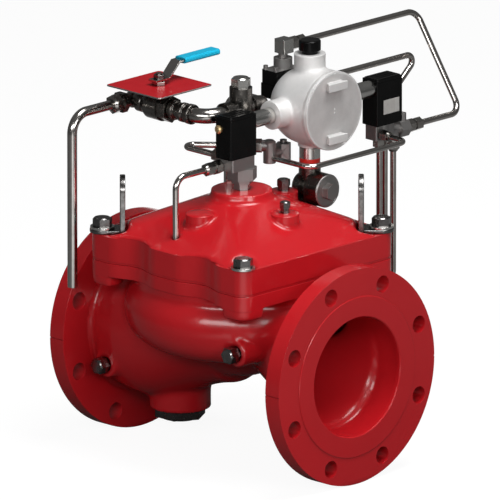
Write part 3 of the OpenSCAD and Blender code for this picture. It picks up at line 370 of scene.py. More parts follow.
class Piece:
    """One visible piece, gathered from several meshes in mm and finished as one object in metres."""

    def __init__(self, name: str, finish: Finish, body: str = VALVE) -> None:
        """Starts an empty piece.

        Args:
            name: the piece's name.
            finish: its finish.
            body: the CAD body it rides on.
        """
        self.name = name
        self.finish = finish
        self.body = body
        self.bm = bmesh.new()

    def add(self, part: bmesh.types.BMesh, place: Matrix | None = None) -> Piece:
        """Adds a mesh at a place and returns the piece, so that calls can follow each other."""
        if place is not None:
            bmesh.ops.transform(part, matrix=place, verts=part.verts)
        mesh = bpy.data.meshes.new("part")
        part.to_mesh(mesh)
        part.free()
        self.bm.from_mesh(mesh)
        bpy.data.meshes.remove(mesh)
        return self

    def make(self, replaces: Sequence[str] = (), sharp: float = 32.0, scale: float = MM) -> bpy.types.Object:
        """Turns what was gathered into the finished object.

        Args:
            replaces: the CAD nodes that it stands for.
            sharp: the angle in degrees above which an edge stays sharp.
            scale: size of one unit in metres.

        Returns:
            The object.
        """
        bmesh.ops.scale(self.bm, verts=self.bm.verts, vec=(scale, scale, scale))
        mesh = bpy.data.meshes.new(self.name)
        self.bm.to_mesh(mesh)
        self.bm.free()
        obj = bpy.data.objects.new(self.name, mesh)
        bpy.context.scene.collection.objects.link(obj)
        mesh.materials.append(self.finish.material())
        mesh.shade_smooth()
        mesh.set_sharp_from_angle(angle=math.radians(sharp))
        flat = obj.modifiers.new("flat_faces", "WEIGHTED_NORMAL")
        flat.keep_sharp = True
        flat.weight = 80
        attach(obj, self.body)
        if replaces:
            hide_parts(*replaces)
        LOG.info("%s: %d faces", self.name, len(mesh.polygons))
        return obj


def merged_copy(node: str, frame: dict) -> bmesh.types.BMesh:
    """Copies a CAD node's mesh and joins its loose triangles.

    Args:
        node: the CAD node.

    Returns:
        The closed mesh, in metres.
    """
    bm = bmesh.new()
    bm.from_mesh(frame["nodes"][node].data)
    bmesh.ops.remove_doubles(bm, verts=bm.verts, dist=JOIN_WITHIN)
    return bm


@dataclass(frozen=True)
class Eased:
    """A CAD node shown as a copy whose sharp edges are rounded, as machined or cast edges are."""

    node: str
    finish: Finish
    ease: float
    body: str = VALVE
    segments: int = 2
    inside: Callable[[Vector], bool] | None = None
    name: str = "eased"

    def build(self, frame: dict) -> bpy.types.Object:
        """Builds the copy and hides the node.


        Returns:
            The object.
        """
        bm = merged_copy(self.node, frame)
        bmesh.ops.dissolve_limit(bm, angle_limit=math.radians(FLAT_WITHIN), verts=bm.verts, edges=bm.edges)
        corner = math.radians(SHARP_FROM)
        edges = [e for e in bm.edges if len(e.link_faces) == 2 and e.calc_face_angle(0.0) > corner]
        bmesh.ops.bevel(bm, geom=edges, offset=self.ease * MM, segments=self.segments, affect="EDGES",
                        profile=0.5, clamp_overlap=True, material=-1)
        bmesh.ops.triangulate(bm, faces=[f for f in bm.faces if len(f.verts) > 4])
        if self.inside is not None:
            out = [f for f in bm.faces if not self.inside(f.calc_center_median() / MM)]
            bmesh.ops.delete(bm, geom=out, context="FACES")
        piece = Piece(f"{self.node}_{self.name}", self.finish, self.body)
        piece.add(bm)
        return piece.make([self.node], sharp=40.0, scale=1.0)


# Castings


def slabs_round(inner: Box, outer: Box) -> list[Box]:
    """Gives the six boxes that fill the room between an inner box and an outer one.

    Args:
        inner: the inner box.
        outer: the outer box.

    Returns:
        The boxes, two for each axis, none of which overlap.
    """
    low, high = list(outer[0]), list(outer[1])
    slabs = []
    for axis in range(3):
        for first, last in ((low[axis], inner[0][axis]), (inner[1][axis], high[axis])):
            corners = list(low), list(high)
            corners[0][axis], corners[1][axis] = first, last
            slabs.append((tuple(corners[0]), tuple(corners[1])))
        low[axis], high[axis] = inner[0][axis], inner[1][axis]
    return slabs


@dataclass(frozen=True)
class Casting(ABC):
    """A casting: its cast part gets soft fillets, and its machined parts keep their edges.

    Each subclass says, in mm, which part is machined and how far each point is smoothed. The softened copy
    has faces of the size voxel and is smoothed in rounds; machined edges are rounded by edge, and sink is
    how deep the softened copy goes under them.
    """

    node: str
    voxel: float
    rounds: int
    edge: float = 1.5
    sink: float = 0.8
    finish: Finish = RED
    flat_within: float = 0.4
    boss_ease: float = 1.4
    boss_stand: float = 0.15
    boss_root: float = 12.0
    boss_steps: int = 48

    @abstractmethod
    def machined(self) -> list[Box]:
        """Gives the boxes in which the machined copy is shown."""

    @abstractmethod
    def cast(self) -> Box:
        """Gives the box in which the softened copy is shown."""

    @abstractmethod
    def softness(self, at: Vector) -> float:
        """Gives how strongly a point is smoothed, from 0 to 1."""

    @abstractmethod
    def under(self, at: Vector) -> float:
        """Gives how far, from 0 to 1, a point of the softened copy sinks under the machined one."""

    def settle(self, at: Vector) -> Vector:
        """Gives the place at which a point of the machined copy is shown."""
        return at.copy()

    def left_out(self, at: Vector) -> bool:
        """Whether the face with this middle is left out of the machined copy."""
        return False

    def bosses(self) -> list[tuple[Point, float]]:
        """Gives the top and radius of each round boss that is turned again after the softening."""
        return []

    def build(self, frame: dict) -> bpy.types.Object:
        """Builds the casting and hides the node.


        Returns:
            The object.
        """
        piece = Piece(f"{self.node}_cast", self.finish)
        for box in self.machined():
            piece.add(self._machined_copy(frame, box))
        piece.add(self._softened_copy(frame))
        for top, radius in self.bosses():
            section = disc_profile(radius, -self.boss_root, self.boss_stand, self.boss_ease)
            disc = lathe(section, self.boss_steps)
            bmesh.ops.scale(disc, verts=disc.verts, vec=(MM, MM, MM))
            piece.add(disc, Matrix.Translation(Vector(top) * MM))
        return piece.make([self.node], sharp=38.0, scale=1.0)

    def _machined_copy(self, frame: dict, box: Box) -> bmesh.types.BMesh:
        """Copies the part of the casting inside a box, with its outer edges slightly rounded."""
        sharp = merged_copy(self.node, frame)
        flat = math.radians(self.flat_within)
        bmesh.ops.dissolve_limit(sharp, angle_limit=flat, verts=sharp.verts, edges=sharp.edges)
        for v in sharp.verts:
            v.co = self.settle(v.co / MM) * MM
        low, high = Vector(box[0]) * MM, Vector(box[1]) * MM
        corner = math.radians(SHARP_FROM)
        edges = [
            e for e in sharp.edges
            if len(e.link_faces) == 2 and e.is_convex and e.calc_face_angle(0.0) > corner
            and all(low[i] < v.co[i] < high[i] for v in e.verts for i in range(3))
        ]
        bmesh.ops.bevel(sharp, geom=edges, offset=self.edge * MM, segments=2, affect="EDGES", profile=0.5,
                        clamp_overlap=True, material=-1)
        bmesh.ops.triangulate(sharp, faces=[f for f in sharp.faces if len(f.verts) > 4])
        self._crop(sharp, box)
        out = [f for f in sharp.faces if self.left_out(f.calc_center_median() / MM)]
        bmesh.ops.delete(sharp, geom=out, context="FACES")
        return sharp

    @staticmethod
    def _crop(bm: bmesh.types.BMesh, box: Box) -> None:
        """Cuts away what of a mesh lies outside a box; the cuts stay open, inside other metal."""
        for corner, sign in ((box[0], -1.0), (box[1], 1.0)):
            for axis in range(3):
                normal, at = Vector((0, 0, 0)), Vector((0, 0, 0))
                normal[axis] = sign
                at[axis] = corner[axis] * MM
                bmesh.ops.bisect_plane(bm, geom=bm.verts[:] + bm.edges[:] + bm.faces[:], plane_co=at,
                                       plane_no=normal, clear_outer=True, dist=1e-7)

    def _softened_copy(self, frame: dict) -> bmesh.types.BMesh:
        """Remeshes the casting, smooths its cast part and sinks what lies under the machined one."""
        soft = self._remeshed(frame)
        weight = {v: self.softness(v.co / MM) for v in soft.verts}
        for step in range(self.rounds):
            share = (step + 0.5) / self.rounds
            moving = [v for v, w in weight.items() if w > share]
            bmesh.ops.smooth_vert(soft, verts=moving, factor=0.5, use_axis_x=True, use_axis_y=True,
                                  use_axis_z=True)
        soft.normal_update()
        for v in soft.verts:
            v.co -= v.normal * self.under(v.co / MM) * self.sink * MM
        self._crop(soft, self.cast())
        return soft

    def _remeshed(self, frame: dict) -> bmesh.types.BMesh:
        """Copies the whole casting in small even faces."""
        whole = merged_copy(self.node, frame)
        mesh = bpy.data.meshes.new("soft")
        whole.to_mesh(mesh)
        whole.free()
        obj = bpy.data.objects.new("soft", mesh)
        bpy.context.scene.collection.objects.link(obj)
        remesh = obj.modifiers.new("even", "REMESH")
        remesh.mode = "VOXEL"
        remesh.voxel_size = self.voxel * MM
        done = bpy.data.meshes.new_from_object(obj.evaluated_get(bpy.context.evaluated_depsgraph_get()))
        bpy.data.objects.remove(obj)
        soft = bmesh.new()
        soft.from_mesh(done)
        bpy.data.meshes.remove(done)
        return soft


@dataclass(frozen=True)
class BodyCasting(Casting):
    """The globe body: machined flanges and chamber rim, and between them a soft bowl, neck and belly."""

    node: str = "body_casting"
    voxel: float = 2.4
    rounds: int = 14
    flange_depth: float = 26.0
    rim_low: float = 97.0
    lap: float = 0.5
    cast_from: float = 4.5
    cast_top: float = 99.5
    still_left: float = 14.0
    still_right: float = 392.0
    still_above: float = 106.0
    still_below: float = -96.0
    mouth_radius: float = 92.0
    mouth_depth: float = 46.0
    mouth_fade: float = 30.0
    wall_radius: float = 79.0
    wall_from: float = 8.0

    def machined(self) -> list[Box]:
        """Gives the boxes of the two flanges and of the chamber's rim."""
        left, right = self.flange_depth, FACE_TO_FACE - self.flange_depth
        return [
            ((-BEYOND, -BEYOND, -BEYOND), (left, BEYOND, BEYOND)),
            ((right, -BEYOND, -BEYOND), (FACE_TO_FACE + BEYOND, BEYOND, BEYOND)),
            ((left, -BEYOND, self.rim_low), (right, BEYOND, BEYOND)),
        ]

    def cast(self) -> Box:
        """Gives the box that ends inside the machined flanges and the machined rim."""
        return (
            (self.cast_from, -BEYOND, -BEYOND),
            (FACE_TO_FACE - self.cast_from, BEYOND, self.cast_top),
        )

    def softness(self, at: Vector) -> float:
        """Gives 0 for a point of the flanges, the rim or the drain boss's end, and 1 elsewhere."""
        still = at.x < self.still_left or at.x > self.still_right or at.z > self.still_above
        return 0.0 if still or at.z < self.still_below else 1.0

    def under(self, at: Vector) -> float:
        """Gives 1 under the machined parts, and a share that fades inwards where the bore opens."""
        depth = min(at.x, FACE_TO_FACE - at.x)
        if math.hypot(at.y, at.z) < self.mouth_radius and depth < self.mouth_depth:
            return min(1.0, max(0.0, (self.mouth_depth - depth) / self.mouth_fade))
        return 1.0 if depth < self.flange_depth - self.lap or at.z > self.rim_low + self.lap else 0.0

    def settle(self, at: Vector) -> Vector:
        """Moves a point of a flange's outer face back by the height of the raised face."""
        return Vector((min(max(at.x, RAISED), FACE_TO_FACE - RAISED), at.y, at.z))

    def left_out(self, at: Vector) -> bool:
        """Whether a face is part of the bore behind the raised faces, where the cast wall is shown."""
        behind = self.wall_from < at.x < FACE_TO_FACE - self.wall_from
        return behind and math.hypot(at.y, at.z) < self.wall_radius


@dataclass(frozen=True)
class CoverCasting(Casting):
    """The square cover: a machined rim under a cast roof, soft at its four corners."""

    node: str = "cover_casting"
    voxel: float = 1.9
    rounds: int = 40
    rim_top: float = 151.0
    cast_low: float = 148.0
    sunk_to: float = 149.6
    soft_heights: tuple[float, float] = (142.0, 204.0)
    corner_reach: float = 52.0
    away_from_corners: float = 0.3
    boss_radius: float = 18.0
    boss_z: float = 189.0
    boss_reach: tuple[float, float] = (76.0, 75.0)

    def machined(self) -> list[Box]:
        """Gives the box of the rim."""
        return [((-BEYOND, -BEYOND, 0.0), (FACE_TO_FACE + BEYOND, BEYOND, self.rim_top))]

    def cast(self) -> Box:
        """Gives the box of the roof, which starts inside the rim."""
        return (-BEYOND, -BEYOND, self.cast_low), (FACE_TO_FACE + BEYOND, BEYOND, BEYOND)

    def softness(self, at: Vector) -> float:
        """Gives 1 near a corner bolt, less over the roof, and 0 at the rim and the centre boss."""
        if at.z < self.soft_heights[0] or at.z > self.soft_heights[1]:
            return 0.0
        reach = math.hypot(abs(at.x - MIDDLE_X) - COVER_BOLT_OFFSET, abs(at.y) - COVER_BOLT_OFFSET)
        return 1.0 if reach < self.corner_reach else self.away_from_corners

    def under(self, at: Vector) -> float:
        """Gives 1 under the machined rim and 0 above it."""
        return 1.0 if at.z < self.sunk_to else 0.0

    def bosses(self) -> list[tuple[Point, float]]:
        """Gives the three low bosses of the roof, as the CAD has them."""
        along, across = self.boss_reach
        places = ((MIDDLE_X, -across), (MIDDLE_X + along, 0.0), (MIDDLE_X, across))
        return [((x, y, self.boss_z), self.boss_radius) for x, y in places]


@dataclass(frozen=True)
class RaisedFaces:
    """The slightly raised sealing faces of the two pipe flanges, with their machined lip in the bore."""

    bore: float = 77.0
    radius: float = 104.0
    lip: float = 7.0
    lip_width: float = 1.0
    root: float = 2.0
    bore_ease: float = 1.2
    edge_ease: tuple[float, float] = (0.9, 0.8)
    ends: tuple[float, float] = (0.0, FACE_TO_FACE)
    steps: int = 128

    def build(self) -> bpy.types.Object:
        """Builds both faces as one object."""
        piece = Piece("raised_faces", RED)
        for x in self.ends:
            inward = 1.0 if x == 0.0 else -1.0
            piece.add(lathe(self._profile(), self.steps), aim((x, 0.0, 0.0), (inward, 0.0, 0.0)))
        return piece.make()

    def _profile(self) -> list[tuple[float, float]]:
        """Gives the section of one face: eased at the bore and at its outer edge, and let into the flange."""
        return [
            (self.bore, self.lip), (self.bore, self.bore_ease), (self.bore + self.bore_ease, 0.0),
            (self.radius - self.edge_ease[0], 0.0), (self.radius, self.edge_ease[1]),
            (self.radius, self.root), (self.bore + self.lip_width, self.lip), (self.bore, self.lip),
        ]


@dataclass(frozen=True)
class BoxShell(Casting):
    """The junction box's shell: machined at the cover's seat and its hubs' ends, and cast between them."""

    node: str = "box_shell"
    voxel: float = 1.2
    rounds: int = 16
    edge: float = 0.8
    sink: float = 0.5
    finish: Finish = ALUMINIUM
    crisp_outside: Box = ((153.5, 54.2, 241.0), (236.0, 189.8, 356.0))
    still_outside: Box = ((152.7, 53.5, 240.5), (236.7, 190.5, 356.5))
    cast_inside: Box = ((152.0, 52.5, 240.0), (237.4, 191.5, 357.0))

    def machined(self) -> list[Box]:
        """Gives the six boxes round the cast part."""
        low, high = self.crisp_outside
        outer = tuple(v - BEYOND for v in low), tuple(v + BEYOND for v in high)
        return slabs_round(self.crisp_outside, outer)

    def cast(self) -> Box:
        """Gives the box that ends a little way inside the machined ends."""
        return self.cast_inside

    def softness(self, at: Vector) -> float:
        """Gives 0 at the machined ends and 1 between them."""
        return 1.0 - self.under(at)

    def under(self, at: Vector) -> float:
        """Gives 1 at the machined ends and 0 between them."""
        low, high = self.still_outside
        return 1.0 if any(at[i] < low[i] or at[i] > high[i] for i in range(3)) else 0.0


@dataclass(frozen=True)
class JunctionBox:
    """The round cast box, with a rim round its cover in a brighter finish that paints its highlight line, and
    two small spots of weld on the face.
    """

    radius: float = 50.6
    rim_depth: float = 4.0
    lug_reach: float = 47.5
    lug_from: float = 0.25
    spot_aside: float = 1.0
    spot_heights: tuple[float, float] = (2.2, -2.6)
    rim_steps: int = 96
    spot_steps: int = 16

    def build(self, frame: dict) -> list[bpy.types.Object]:
        """Builds the shell, the cover's face, its lugs, its rim and its spots.


        Returns:
            The objects.
        """
        return [
            BoxShell().build(frame),
            Eased("box_cover", COVER_FACE, 0.9, segments=3, inside=self._on_face, name="face").build(frame),
            Eased("box_cover", ALUMINIUM, 1.1, segments=3, inside=self._on_lugs, name="lugs").build(frame),
            self._rim(),
            self._spots(),
        ]

    def _on_lugs(self, at: Vector) -> bool:
        """Whether a point in mm belongs to one of the two lugs of the cover."""
        reach = math.hypot(at.y - BOX_MIDDLE[0], at.z - BOX_MIDDLE[1])
        return at.x > BOX_FACE_X + self.lug_from and reach < self.lug_reach

    def _on_face(self, at: Vector) -> bool:
        """Whether a point in mm belongs to the cover, but not to its lugs."""
        return not self._on_lugs(at)

    def _rim(self) -> bpy.types.Object:
        """Turns the rounded edge that frames the cover, in a brighter finish that paints its highlight line.
        """
        r, depth = self.radius, self.rim_depth
        section = [
            (r - 1.6, -depth), (r + 0.15, -depth), (r + 0.15, -1.6), (r - 0.4, -0.4), (r - 1.6, 0.15),
            (r - 2.4, 0.12), (r - 2.6, -0.3), (r - 1.6, -depth),
        ]
        piece = Piece("box_cover_rim", RIM_HIGHLIGHT)
        ring = lathe(section, self.rim_steps)
        return piece.add(ring, aim((BOX_FACE_X, *BOX_MIDDLE), (1.0, 0.0, 0.0))).make()

    def _spots(self) -> bpy.types.Object:
        """Raises the two small round spots in the middle of the cover."""
        piece = Piece("box_cover_spots", RIM_HIGHLIGHT)
        for height in self.spot_heights:
            spot = lathe([(1.3, -0.2), (1.2, 0.35), (0.6, 0.7), (0.0, 0.75)], self.spot_steps)
            at = (BOX_FACE_X, BOX_MIDDLE[0] + self.spot_aside, BOX_MIDDLE[1] + height)
            piece.add(spot, aim(at, (1.0, 0.0, 0.0)))
        return piece.make()


@dataclass(frozen=True)
class LabelPlate:
    """The bare metal label on the side of the far coil."""

    low: Point = (217.2, 241.0, 257.5)
    size: tuple[float, float] = (28.0, 18.5)
    stand: float = 0.5
    let_in: float = 0.4
    ease: float = 0.2

    def build(self) -> bpy.types.Object:
        """Builds the plate, let a little into the coil's side."""
        depth = self.stand + self.let_in
        plate = soft_box((depth, *self.size), self.ease, 2)
        x, y, z = self.low
        at = (x - self.let_in + depth / 2, y + self.size[0] / 2, z + self.size[1] / 2)
        return Piece("remote_label", LABEL).add(plate, Matrix.Translation(at)).make()


@dataclass(frozen=True)
class JointBand:
    """The painted edge of the diaphragm, which fills the joint between body and cover."""

    middle: tuple[float, float] = (MIDDLE_X, 0.0)
    bolt_offset: float = COVER_BOLT_OFFSET
    hole_reach: float = 8.0
    outer_from: float = 100.0
    growth: float = 1.0103
    low: float = 116.3
    high: float = 118.7
    depth: float = 1.2

    def build(self, frame: dict) -> bpy.types.Object:
        """Builds the band from the outer side faces of the diaphragm.


        Returns:
            The object.
        """
        bm = merged_copy("diaphragm", frame)
        bmesh.ops.scale(bm, verts=bm.verts, vec=(1.0 / MM,) * 3)
        bmesh.ops.translate(bm, verts=bm.verts, vec=(-self.middle[0], -self.middle[1], 0.0))
        inner = [f for f in bm.faces if not self._outer(f)]
        bmesh.ops.delete(bm, geom=inner, context="FACES")
        bmesh.ops.scale(bm, verts=bm.verts, vec=(self.growth, self.growth, 1.0))
        centre = sum(v.co.z for v in bm.verts) / len(bm.verts)
        for v in bm.verts:
            v.co.z = self.high if v.co.z > centre else self.low
        bmesh.ops.recalc_face_normals(bm, faces=bm.faces)
        bmesh.ops.solidify(bm, geom=bm.faces[:], thickness=self.depth)
        bmesh.ops.recalc_face_normals(bm, faces=bm.faces)
        piece = Piece("joint_band", RED)
        return piece.add(bm, Matrix.Translation((*self.middle, 0.0))).make(sharp=50.0)

    def _outer(self, face: bmesh.types.BMFace) -> bool:
        """Whether a face is part of the outer edge, and not of the flat sides or a hole."""
        at = face.calc_center_median()
        if abs(face.normal.z) > 0.5 or max(abs(at.x), abs(at.y)) < self.outer_from:
            return False
        return math.hypot(abs(at.x) - self.bolt_offset, abs(at.y) - self.bolt_offset) > self.hole_reach


# Scene

PHOTO_AZIMUTH = 44.5
PHOTO_ELEVATION = 15.6
AIMED_AT = (0.2, 0.0, 0.1)


def math_node(tree: bpy.types.NodeTree, operation: str) -> bpy.types.Node:
    """Adds a math node and returns it."""
    node = tree.nodes.new("ShaderNodeMath")
    node.operation = operation
    return node


@dataclass(frozen=True)
class Lamp:
    """One soft rectangular lamp that faces the valve; places and sizes are in metres, the power in watts."""

    name: str
    at: Point
    size: tuple[float, float]
    power: float

    def build(self) -> None:
        """Hangs the lamp."""
        data = bpy.data.lights.new(self.name, "AREA")
        data.shape = "RECTANGLE"
        data.size, data.size_y = self.size
        data.energy = self.power
        lamp = bpy.data.objects.new(self.name, data)
        lamp.location = self.at
        lamp.rotation_euler = (Vector(self.at) - Vector(AIMED_AT)).to_track_quat("Z", "Y").to_euler()
        bpy.context.scene.collection.objects.link(lamp)


@dataclass(frozen=True)
class ViewPoint:
    """The camera at the photograph's angle, far back on a long lens, so that the view is nearly parallel."""

    width_mm: float = 629.4
    look_at: Point = (188.3, 29.8, 116.7)
    lens: float = 1650.0
    sensor: float = 36.0

    def build(self) -> None:
        """Places the camera."""
        a, e = math.radians(PHOTO_AZIMUTH), math.radians(PHOTO_ELEVATION)
        back = Vector((math.sin(a) * math.cos(e), -math.cos(a) * math.cos(e), math.sin(e)))
        distance = self.width_mm * self.lens / self.sensor * MM
        data = bpy.data.cameras.new("camera")
        data.lens = self.lens
        data.sensor_width = self.sensor
        data.clip_end = distance * 3.0
        camera = bpy.data.objects.new("camera", data)
        camera.location = Vector(self.look_at) * MM + back * distance
        camera.rotation_euler = back.to_track_quat("Z", "Y").to_euler()
        bpy.context.scene.collection.objects.link(camera)
        bpy.context.scene.camera = camera


@dataclass(frozen=True)
class Room:
    """The world: a dim room from which the valve takes its soft light, white where the camera sees it."""

    horizon: float = 0.07
    ceiling: float = 0.1
    ceiling_from: float = 0.5

    def build(self) -> None:
        """Makes the world."""
        world = bpy.data.worlds.new("room")
        bpy.context.scene.world = world
        world.use_nodes = True
        nodes, links = world.node_tree.nodes, world.node_tree.links
        ground = nodes["Background"]
        ground.inputs["Color"].default_value = (1.0, 1.0, 1.0, 1.0)
        place = nodes.new("ShaderNodeTexCoord")
        split = nodes.new("ShaderNodeSeparateXYZ")
        fade = nodes.new("ShaderNodeMapRange")
        fade.inputs["From Max"].default_value = self.ceiling_from
        fade.inputs["To Min"].default_value = self.horizon
        fade.inputs["To Max"].default_value = self.ceiling
        path = nodes.new("ShaderNodeLightPath")
        through = math_node(world.node_tree, "MAXIMUM")
        seen = math_node(world.node_tree, "MAXIMUM")
        links.new(place.outputs["Generated"], split.inputs["Vector"])
        links.new(split.outputs["Z"], fade.inputs["Value"])
        links.new(path.outputs["Is Transmission Ray"], through.inputs[0])
        links.new(fade.outputs["Result"], through.inputs[1])
        links.new(path.outputs["Is Camera Ray"], seen.inputs[0])
        links.new(through.outputs["Value"], seen.inputs[1])
        links.new(seen.outputs["Value"], ground.inputs["Strength"])


@dataclass(frozen=True)
class Floor:
    """The floor that both flanges stand on; it looks white and sends little light back up."""

    reach: float = 7.0
    tone: float = 0.12
    lift: float = 0.93
    glow_left: float = 0.04
    glow_right: float = 0.1
    seen_across: tuple[float, float] = (-1.2, 1.5)
    left_steps: tuple[float, float] = (0.3, 0.42)
    right_steps: tuple[float, float] = (0.6, 0.72)
    dark_to: float = 0.5
    bright_from: float = 0.9

    def build(self) -> None:
        """Lays the floor."""
        bm = bmesh.new()
        bmesh.ops.create_grid(bm, x_segments=1, y_segments=1, size=self.reach)
        bmesh.ops.translate(bm, verts=bm.verts, vec=self._middle())
        mesh = bpy.data.meshes.new("floor")
        bm.to_mesh(mesh)
        bm.free()
        mesh.materials.append(self._material())
        floor = bpy.data.objects.new("floor", mesh)
        bpy.context.scene.collection.objects.link(floor)

    @staticmethod
    def _middle() -> Point:
        """Gives the point of the floor under the valve, in metres."""
        return AIMED_AT[0], AIMED_AT[1], FLOOR_Z * MM

    def _material(self) -> bpy.types.Material:
        """Makes the floor's material: a dark tone in the light, and a glow for the camera and for mirrors."""
        made = bpy.data.materials.new("white_floor")
        made.use_nodes = True
        nodes, links = made.node_tree.nodes, made.node_tree.links
        shader = nodes["Principled BSDF"]
        shader.inputs["Base Color"].default_value = (self.tone, self.tone, self.tone, 1.0)
        shader.inputs["Roughness"].default_value = 0.9
        shader.inputs["Specular IOR Level"].default_value = 0.0
        glow = nodes.new("ShaderNodeEmission")
        path = nodes.new("ShaderNodeLightPath")
        mirrored = math_node(made.node_tree, "MULTIPLY")
        away = math_node(made.node_tree, "MULTIPLY")
        through = math_node(made.node_tree, "MAXIMUM")
        seen = math_node(made.node_tree, "MAXIMUM")
        lift = math_node(made.node_tree, "MULTIPLY")
        lift.inputs[1].default_value = self.lift
        both = nodes.new("ShaderNodeAddShader")
        links.new(path.outputs["Is Glossy Ray"], mirrored.inputs[0])
        links.new(self._side_fade(made).outputs["Color"], mirrored.inputs[1])
        links.new(mirrored.outputs["Value"], away.inputs[0])
        links.new(self._distance_fade(made).outputs["Result"], away.inputs[1])
        links.new(away.outputs["Value"], through.inputs[0])
        links.new(path.outputs["Is Transmission Ray"], through.inputs[1])
        links.new(through.outputs["Value"], seen.inputs[0])
        links.new(path.outputs["Is Camera Ray"], seen.inputs[1])
        links.new(seen.outputs["Value"], lift.inputs[0])
        links.new(lift.outputs["Value"], glow.inputs["Strength"])
        links.new(shader.outputs["BSDF"], both.inputs[0])
        links.new(glow.outputs["Emission"], both.inputs[1])
        links.new(both.outputs["Shader"], nodes["Material Output"].inputs["Surface"])
        return made

    def _side_fade(self, made: bpy.types.Material) -> bpy.types.Node:
        """Adds the fade that darkens the floor's reflection to the left and right of the camera's line.

        Args:
            made: the floor's material.

        Returns:
            The node whose colour is the brightness of the floor in a mirror.
        """
        nodes, links = made.node_tree.nodes, made.node_tree.links
        place = nodes.new("ShaderNodeTexCoord")
        across = nodes.new("ShaderNodeVectorMath")
        across.operation = "DOT_PRODUCT"
        a = math.radians(PHOTO_AZIMUTH)
        across.inputs[1].default_value = (math.cos(a), math.sin(a), 0.0)
        spread = nodes.new("ShaderNodeMapRange")
        spread.inputs["From Min"].default_value = self.seen_across[0]
        spread.inputs["From Max"].default_value = self.seen_across[1]
        ramp = nodes.new("ShaderNodeValToRGB")
        elements = ramp.color_ramp.elements
        elements[0].position, elements[1].position = self.left_steps[0], self.right_steps[1]
        elements[0].color = (self.glow_left, self.glow_left, self.glow_left, 1.0)
        elements[1].color = (self.glow_right, self.glow_right, self.glow_right, 1.0)
        for position in (self.left_steps[1], self.right_steps[0]):
            elements.new(position).color = (1.0, 1.0, 1.0, 1.0)
        links.new(place.outputs["Object"], across.inputs[0])
        links.new(across.outputs["Value"], spread.inputs["Value"])
        links.new(spread.outputs["Result"], ramp.inputs["Fac"])
        return ramp

    def _distance_fade(self, made: bpy.types.Material) -> bpy.types.Node:
        """Adds the fade that keeps the floor's reflection dark close to the valve.

        Args:
            made: the floor's material.

        Returns:
            The node whose result is the share of brightness.
        """
        nodes, links = made.node_tree.nodes, made.node_tree.links
        place = nodes.new("ShaderNodeTexCoord")
        length = nodes.new("ShaderNodeVectorMath")
        length.operation = "DISTANCE"
        length.inputs[1].default_value = self._middle()
        fade = nodes.new("ShaderNodeMapRange")
        fade.inputs["From Min"].default_value = self.dark_to
        fade.inputs["From Max"].default_value = self.bright_from
        links.new(place.outputs["Object"], length.inputs[0])
        links.new(length.outputs["Value"], fade.inputs["Value"])
        return fade


@dataclass(frozen=True)
class Studio:
    """The camera, the white room and its lamps."""

    view_point: ViewPoint = ViewPoint()
    room: Room = Room()
    floor: Floor = Floor()
    lamps: tuple[Lamp, ...] = (
        Lamp("top", (0.9, 0.2, 2.3), (1.2, 1.2), 46.0),
        Lamp("right", (2.4, -0.6, 0.95), (0.8, 0.8), 15.0),
        Lamp("front", (1.1, -1.8, 0.95), (1.8, 0.45), 19.0),
    )

    def build(self) -> None:
        """Builds everything round the valve."""
        self.view_point.build()
        self.room.build()
        self.floor.build()
        for lamp in self.lamps:
            lamp.build()


# Sub-assemblies


class Axis(Enum):
    """An axis along which a node is split."""

    X = 0
    Z = 2


def between(axis: Axis, low: float = -math.inf, high: float = math.inf) -> Callable[[Vector], bool]:
    """Gives the test of whether a point in mm lies from low up to high along an axis."""
    return lambda at: low <= at[axis.value] < high


FILTER_FACE_X = 234.4
SWITCH_CASE_TOP = 319.9
SWITCH_BONNET_TOP = 339.9
TAG_TOP = 324.9


@dataclass(frozen=True)
class SubAssembly:
    """A group of CAD nodes that belong together, shown with eased edges or as packed."""

    name: str
    eased: tuple[Eased, ...] = ()
    as_packed: dict[str, Finish] = field(default_factory=dict)

    def build(self, frame: dict) -> None:
        """Builds the eased copies.
        """
        for eased in self.eased:
            eased.build(frame)

    def dress(self, frame: dict) -> None:
        """Gives each node that is shown as packed its finish.
        """
        for node, finish in self.as_packed.items():
            mesh = frame["nodes"][node].data
            mesh.materials.clear()
            mesh.materials.append(finish.material())
        LOG.info("%s: %d eased, %d as packed", self.name, len(self.eased), len(self.as_packed))


MAIN_VALVE = SubAssembly("main valve", (
    Eased("lifting_lugs", BOLT, 1.2, segments=3),
    Eased("cover_bolts", BOLT, 0.7),
    Eased("cover_washers", BRIGHT, 0.4),
    Eased("drain_plug", BOLT, 0.7),
    Eased("boss_plugs", BOLT, 0.5),
), {
    "seat_ring": BRASS, "diaphragm": RUBBER, "cover_bush": BRASS, "stem": TUBE, "closing_disc": FITTING,
    "disc_seal": RUBBER, "clamp_plates": FITTING, "stem_nut": BOLT, "main_spring": BOLT,
})

ISOLATING_LINE = SubAssembly("isolating line", (
    Eased("inlet_elbow", CASTING, 0.8),
    Eased("ball_valve_body", CASTING, 0.8),
    Eased("valve_end_cap", CASTING, 0.8),
    Eased("line_elbow", CASTING, 0.8),
    Eased("line_tee", CASTING, 0.8),
    Eased("line_pipe", FITTING, 0.4),
    Eased("tee_plug", BRIGHT, 0.7),
    Eased("gland_nut", FITTING, 0.4),
    Eased("tag_plate", PLATE_RED, 0.9, inside=between(Axis.Z, low=TAG_TOP), name="face"),
    Eased("tag_plate", DARK, 0.9, inside=between(Axis.Z, high=TAG_TOP), name="rim"),
    Eased("lever_nut", BOLT, 0.5, LEVER),
    Eased("lever", TUBE, 0.5, LEVER),
    Eased("lever_grip", GRIP, 0.8, LEVER, 3),
), {"supply_tube": TUBE, "ball_seats": WHITE, "ball": TUBE, "valve_stem": FITTING, "priming_tube": TUBE})

PILOT_SOLENOID = SubAssembly("pilot solenoid", (
    Eased("pilot_base", DARK, 0.6),
    Eased("pilot_coil", BLACK, 1.2, segments=3),
    Eased("coil_caps", BLACK, 0.5),
), {"pilot_plunger": TUBE, "override_button": BRASS})

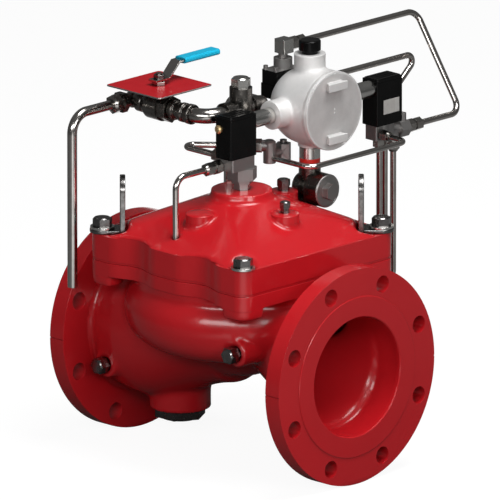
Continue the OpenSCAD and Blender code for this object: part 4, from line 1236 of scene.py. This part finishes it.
REMOTE_SOLENOID = SubAssembly("remote solenoid", (
    Eased("remote_base", DARK, 0.6),
    Eased("remote_coil", BLACK, 1.2, segments=3),
), {"remote_plunger": TUBE})

BOX_MOUNT = SubAssembly("box mount", (
    Eased("conduit_nipples", BRIGHT, 0.3),
    Eased("box_plug", BLACK, 0.8),
    Eased("pillar_collar", COLLAR_RED, 0.3),
), {"terminal_block": BLACK, "pillar": BRIGHT})

FILTER_UNIT = SubAssembly("filter unit", (
    Eased("filter_body", CASTING, 0.7),
    Eased("filter_cap", CASTING, 0.9, inside=between(Axis.X, high=FILTER_FACE_X), name="side"),
    Eased("filter_cap", DARK, 0.9, inside=between(Axis.X, low=FILTER_FACE_X), name="front"),
))

PRESSURE_SWITCH = SubAssembly("pressure switch", (
    Eased("pressure_switch", BLACK, 0.6, inside=between(Axis.Z, high=SWITCH_CASE_TOP), name="case"),
    Eased("pressure_switch", DARK, 0.6, inside=between(Axis.Z, SWITCH_CASE_TOP, SWITCH_BONNET_TOP),
          name="bonnet"),
    Eased("pressure_switch", BRIGHT, 0.6, inside=between(Axis.Z, low=SWITCH_BONNET_TOP), name="block"),
))

TUBING = SubAssembly("tubing", (
    Eased("needle_valve", DARK, 0.6),
    Eased("port_connectors", FITTING, 0.35),
    Eased("tube_nuts", FITTING, 0.4),
), {
    "needle_screw": BOLT, "cover_tubes": TUBE, "cross_tube": TUBE, "loop_tube": TUBE, "return_tube": TUBE,
    "drop_tubes": TUBE,
})

SUB_ASSEMBLIES = (
    MAIN_VALVE, ISOLATING_LINE, PILOT_SOLENOID, REMOTE_SOLENOID, BOX_MOUNT, FILTER_UNIT, PRESSURE_SWITCH,
    TUBING,
)


def main() -> None:
    """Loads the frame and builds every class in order."""
    logging.basicConfig(level=logging.INFO, format="%(message)s")
    bpy.context.scene.view_settings.view_transform = "Standard"
    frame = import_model()
    Studio().build()
    BodyCasting().build(frame)
    RaisedFaces().build()
    CoverCasting().build(frame)
    JointBand().build(frame)
    JunctionBox().build(frame)
    LabelPlate().build()
    for part in SUB_ASSEMBLIES:
        part.build(frame)
        part.dress(frame)


if __name__ == "__main__":
    main()
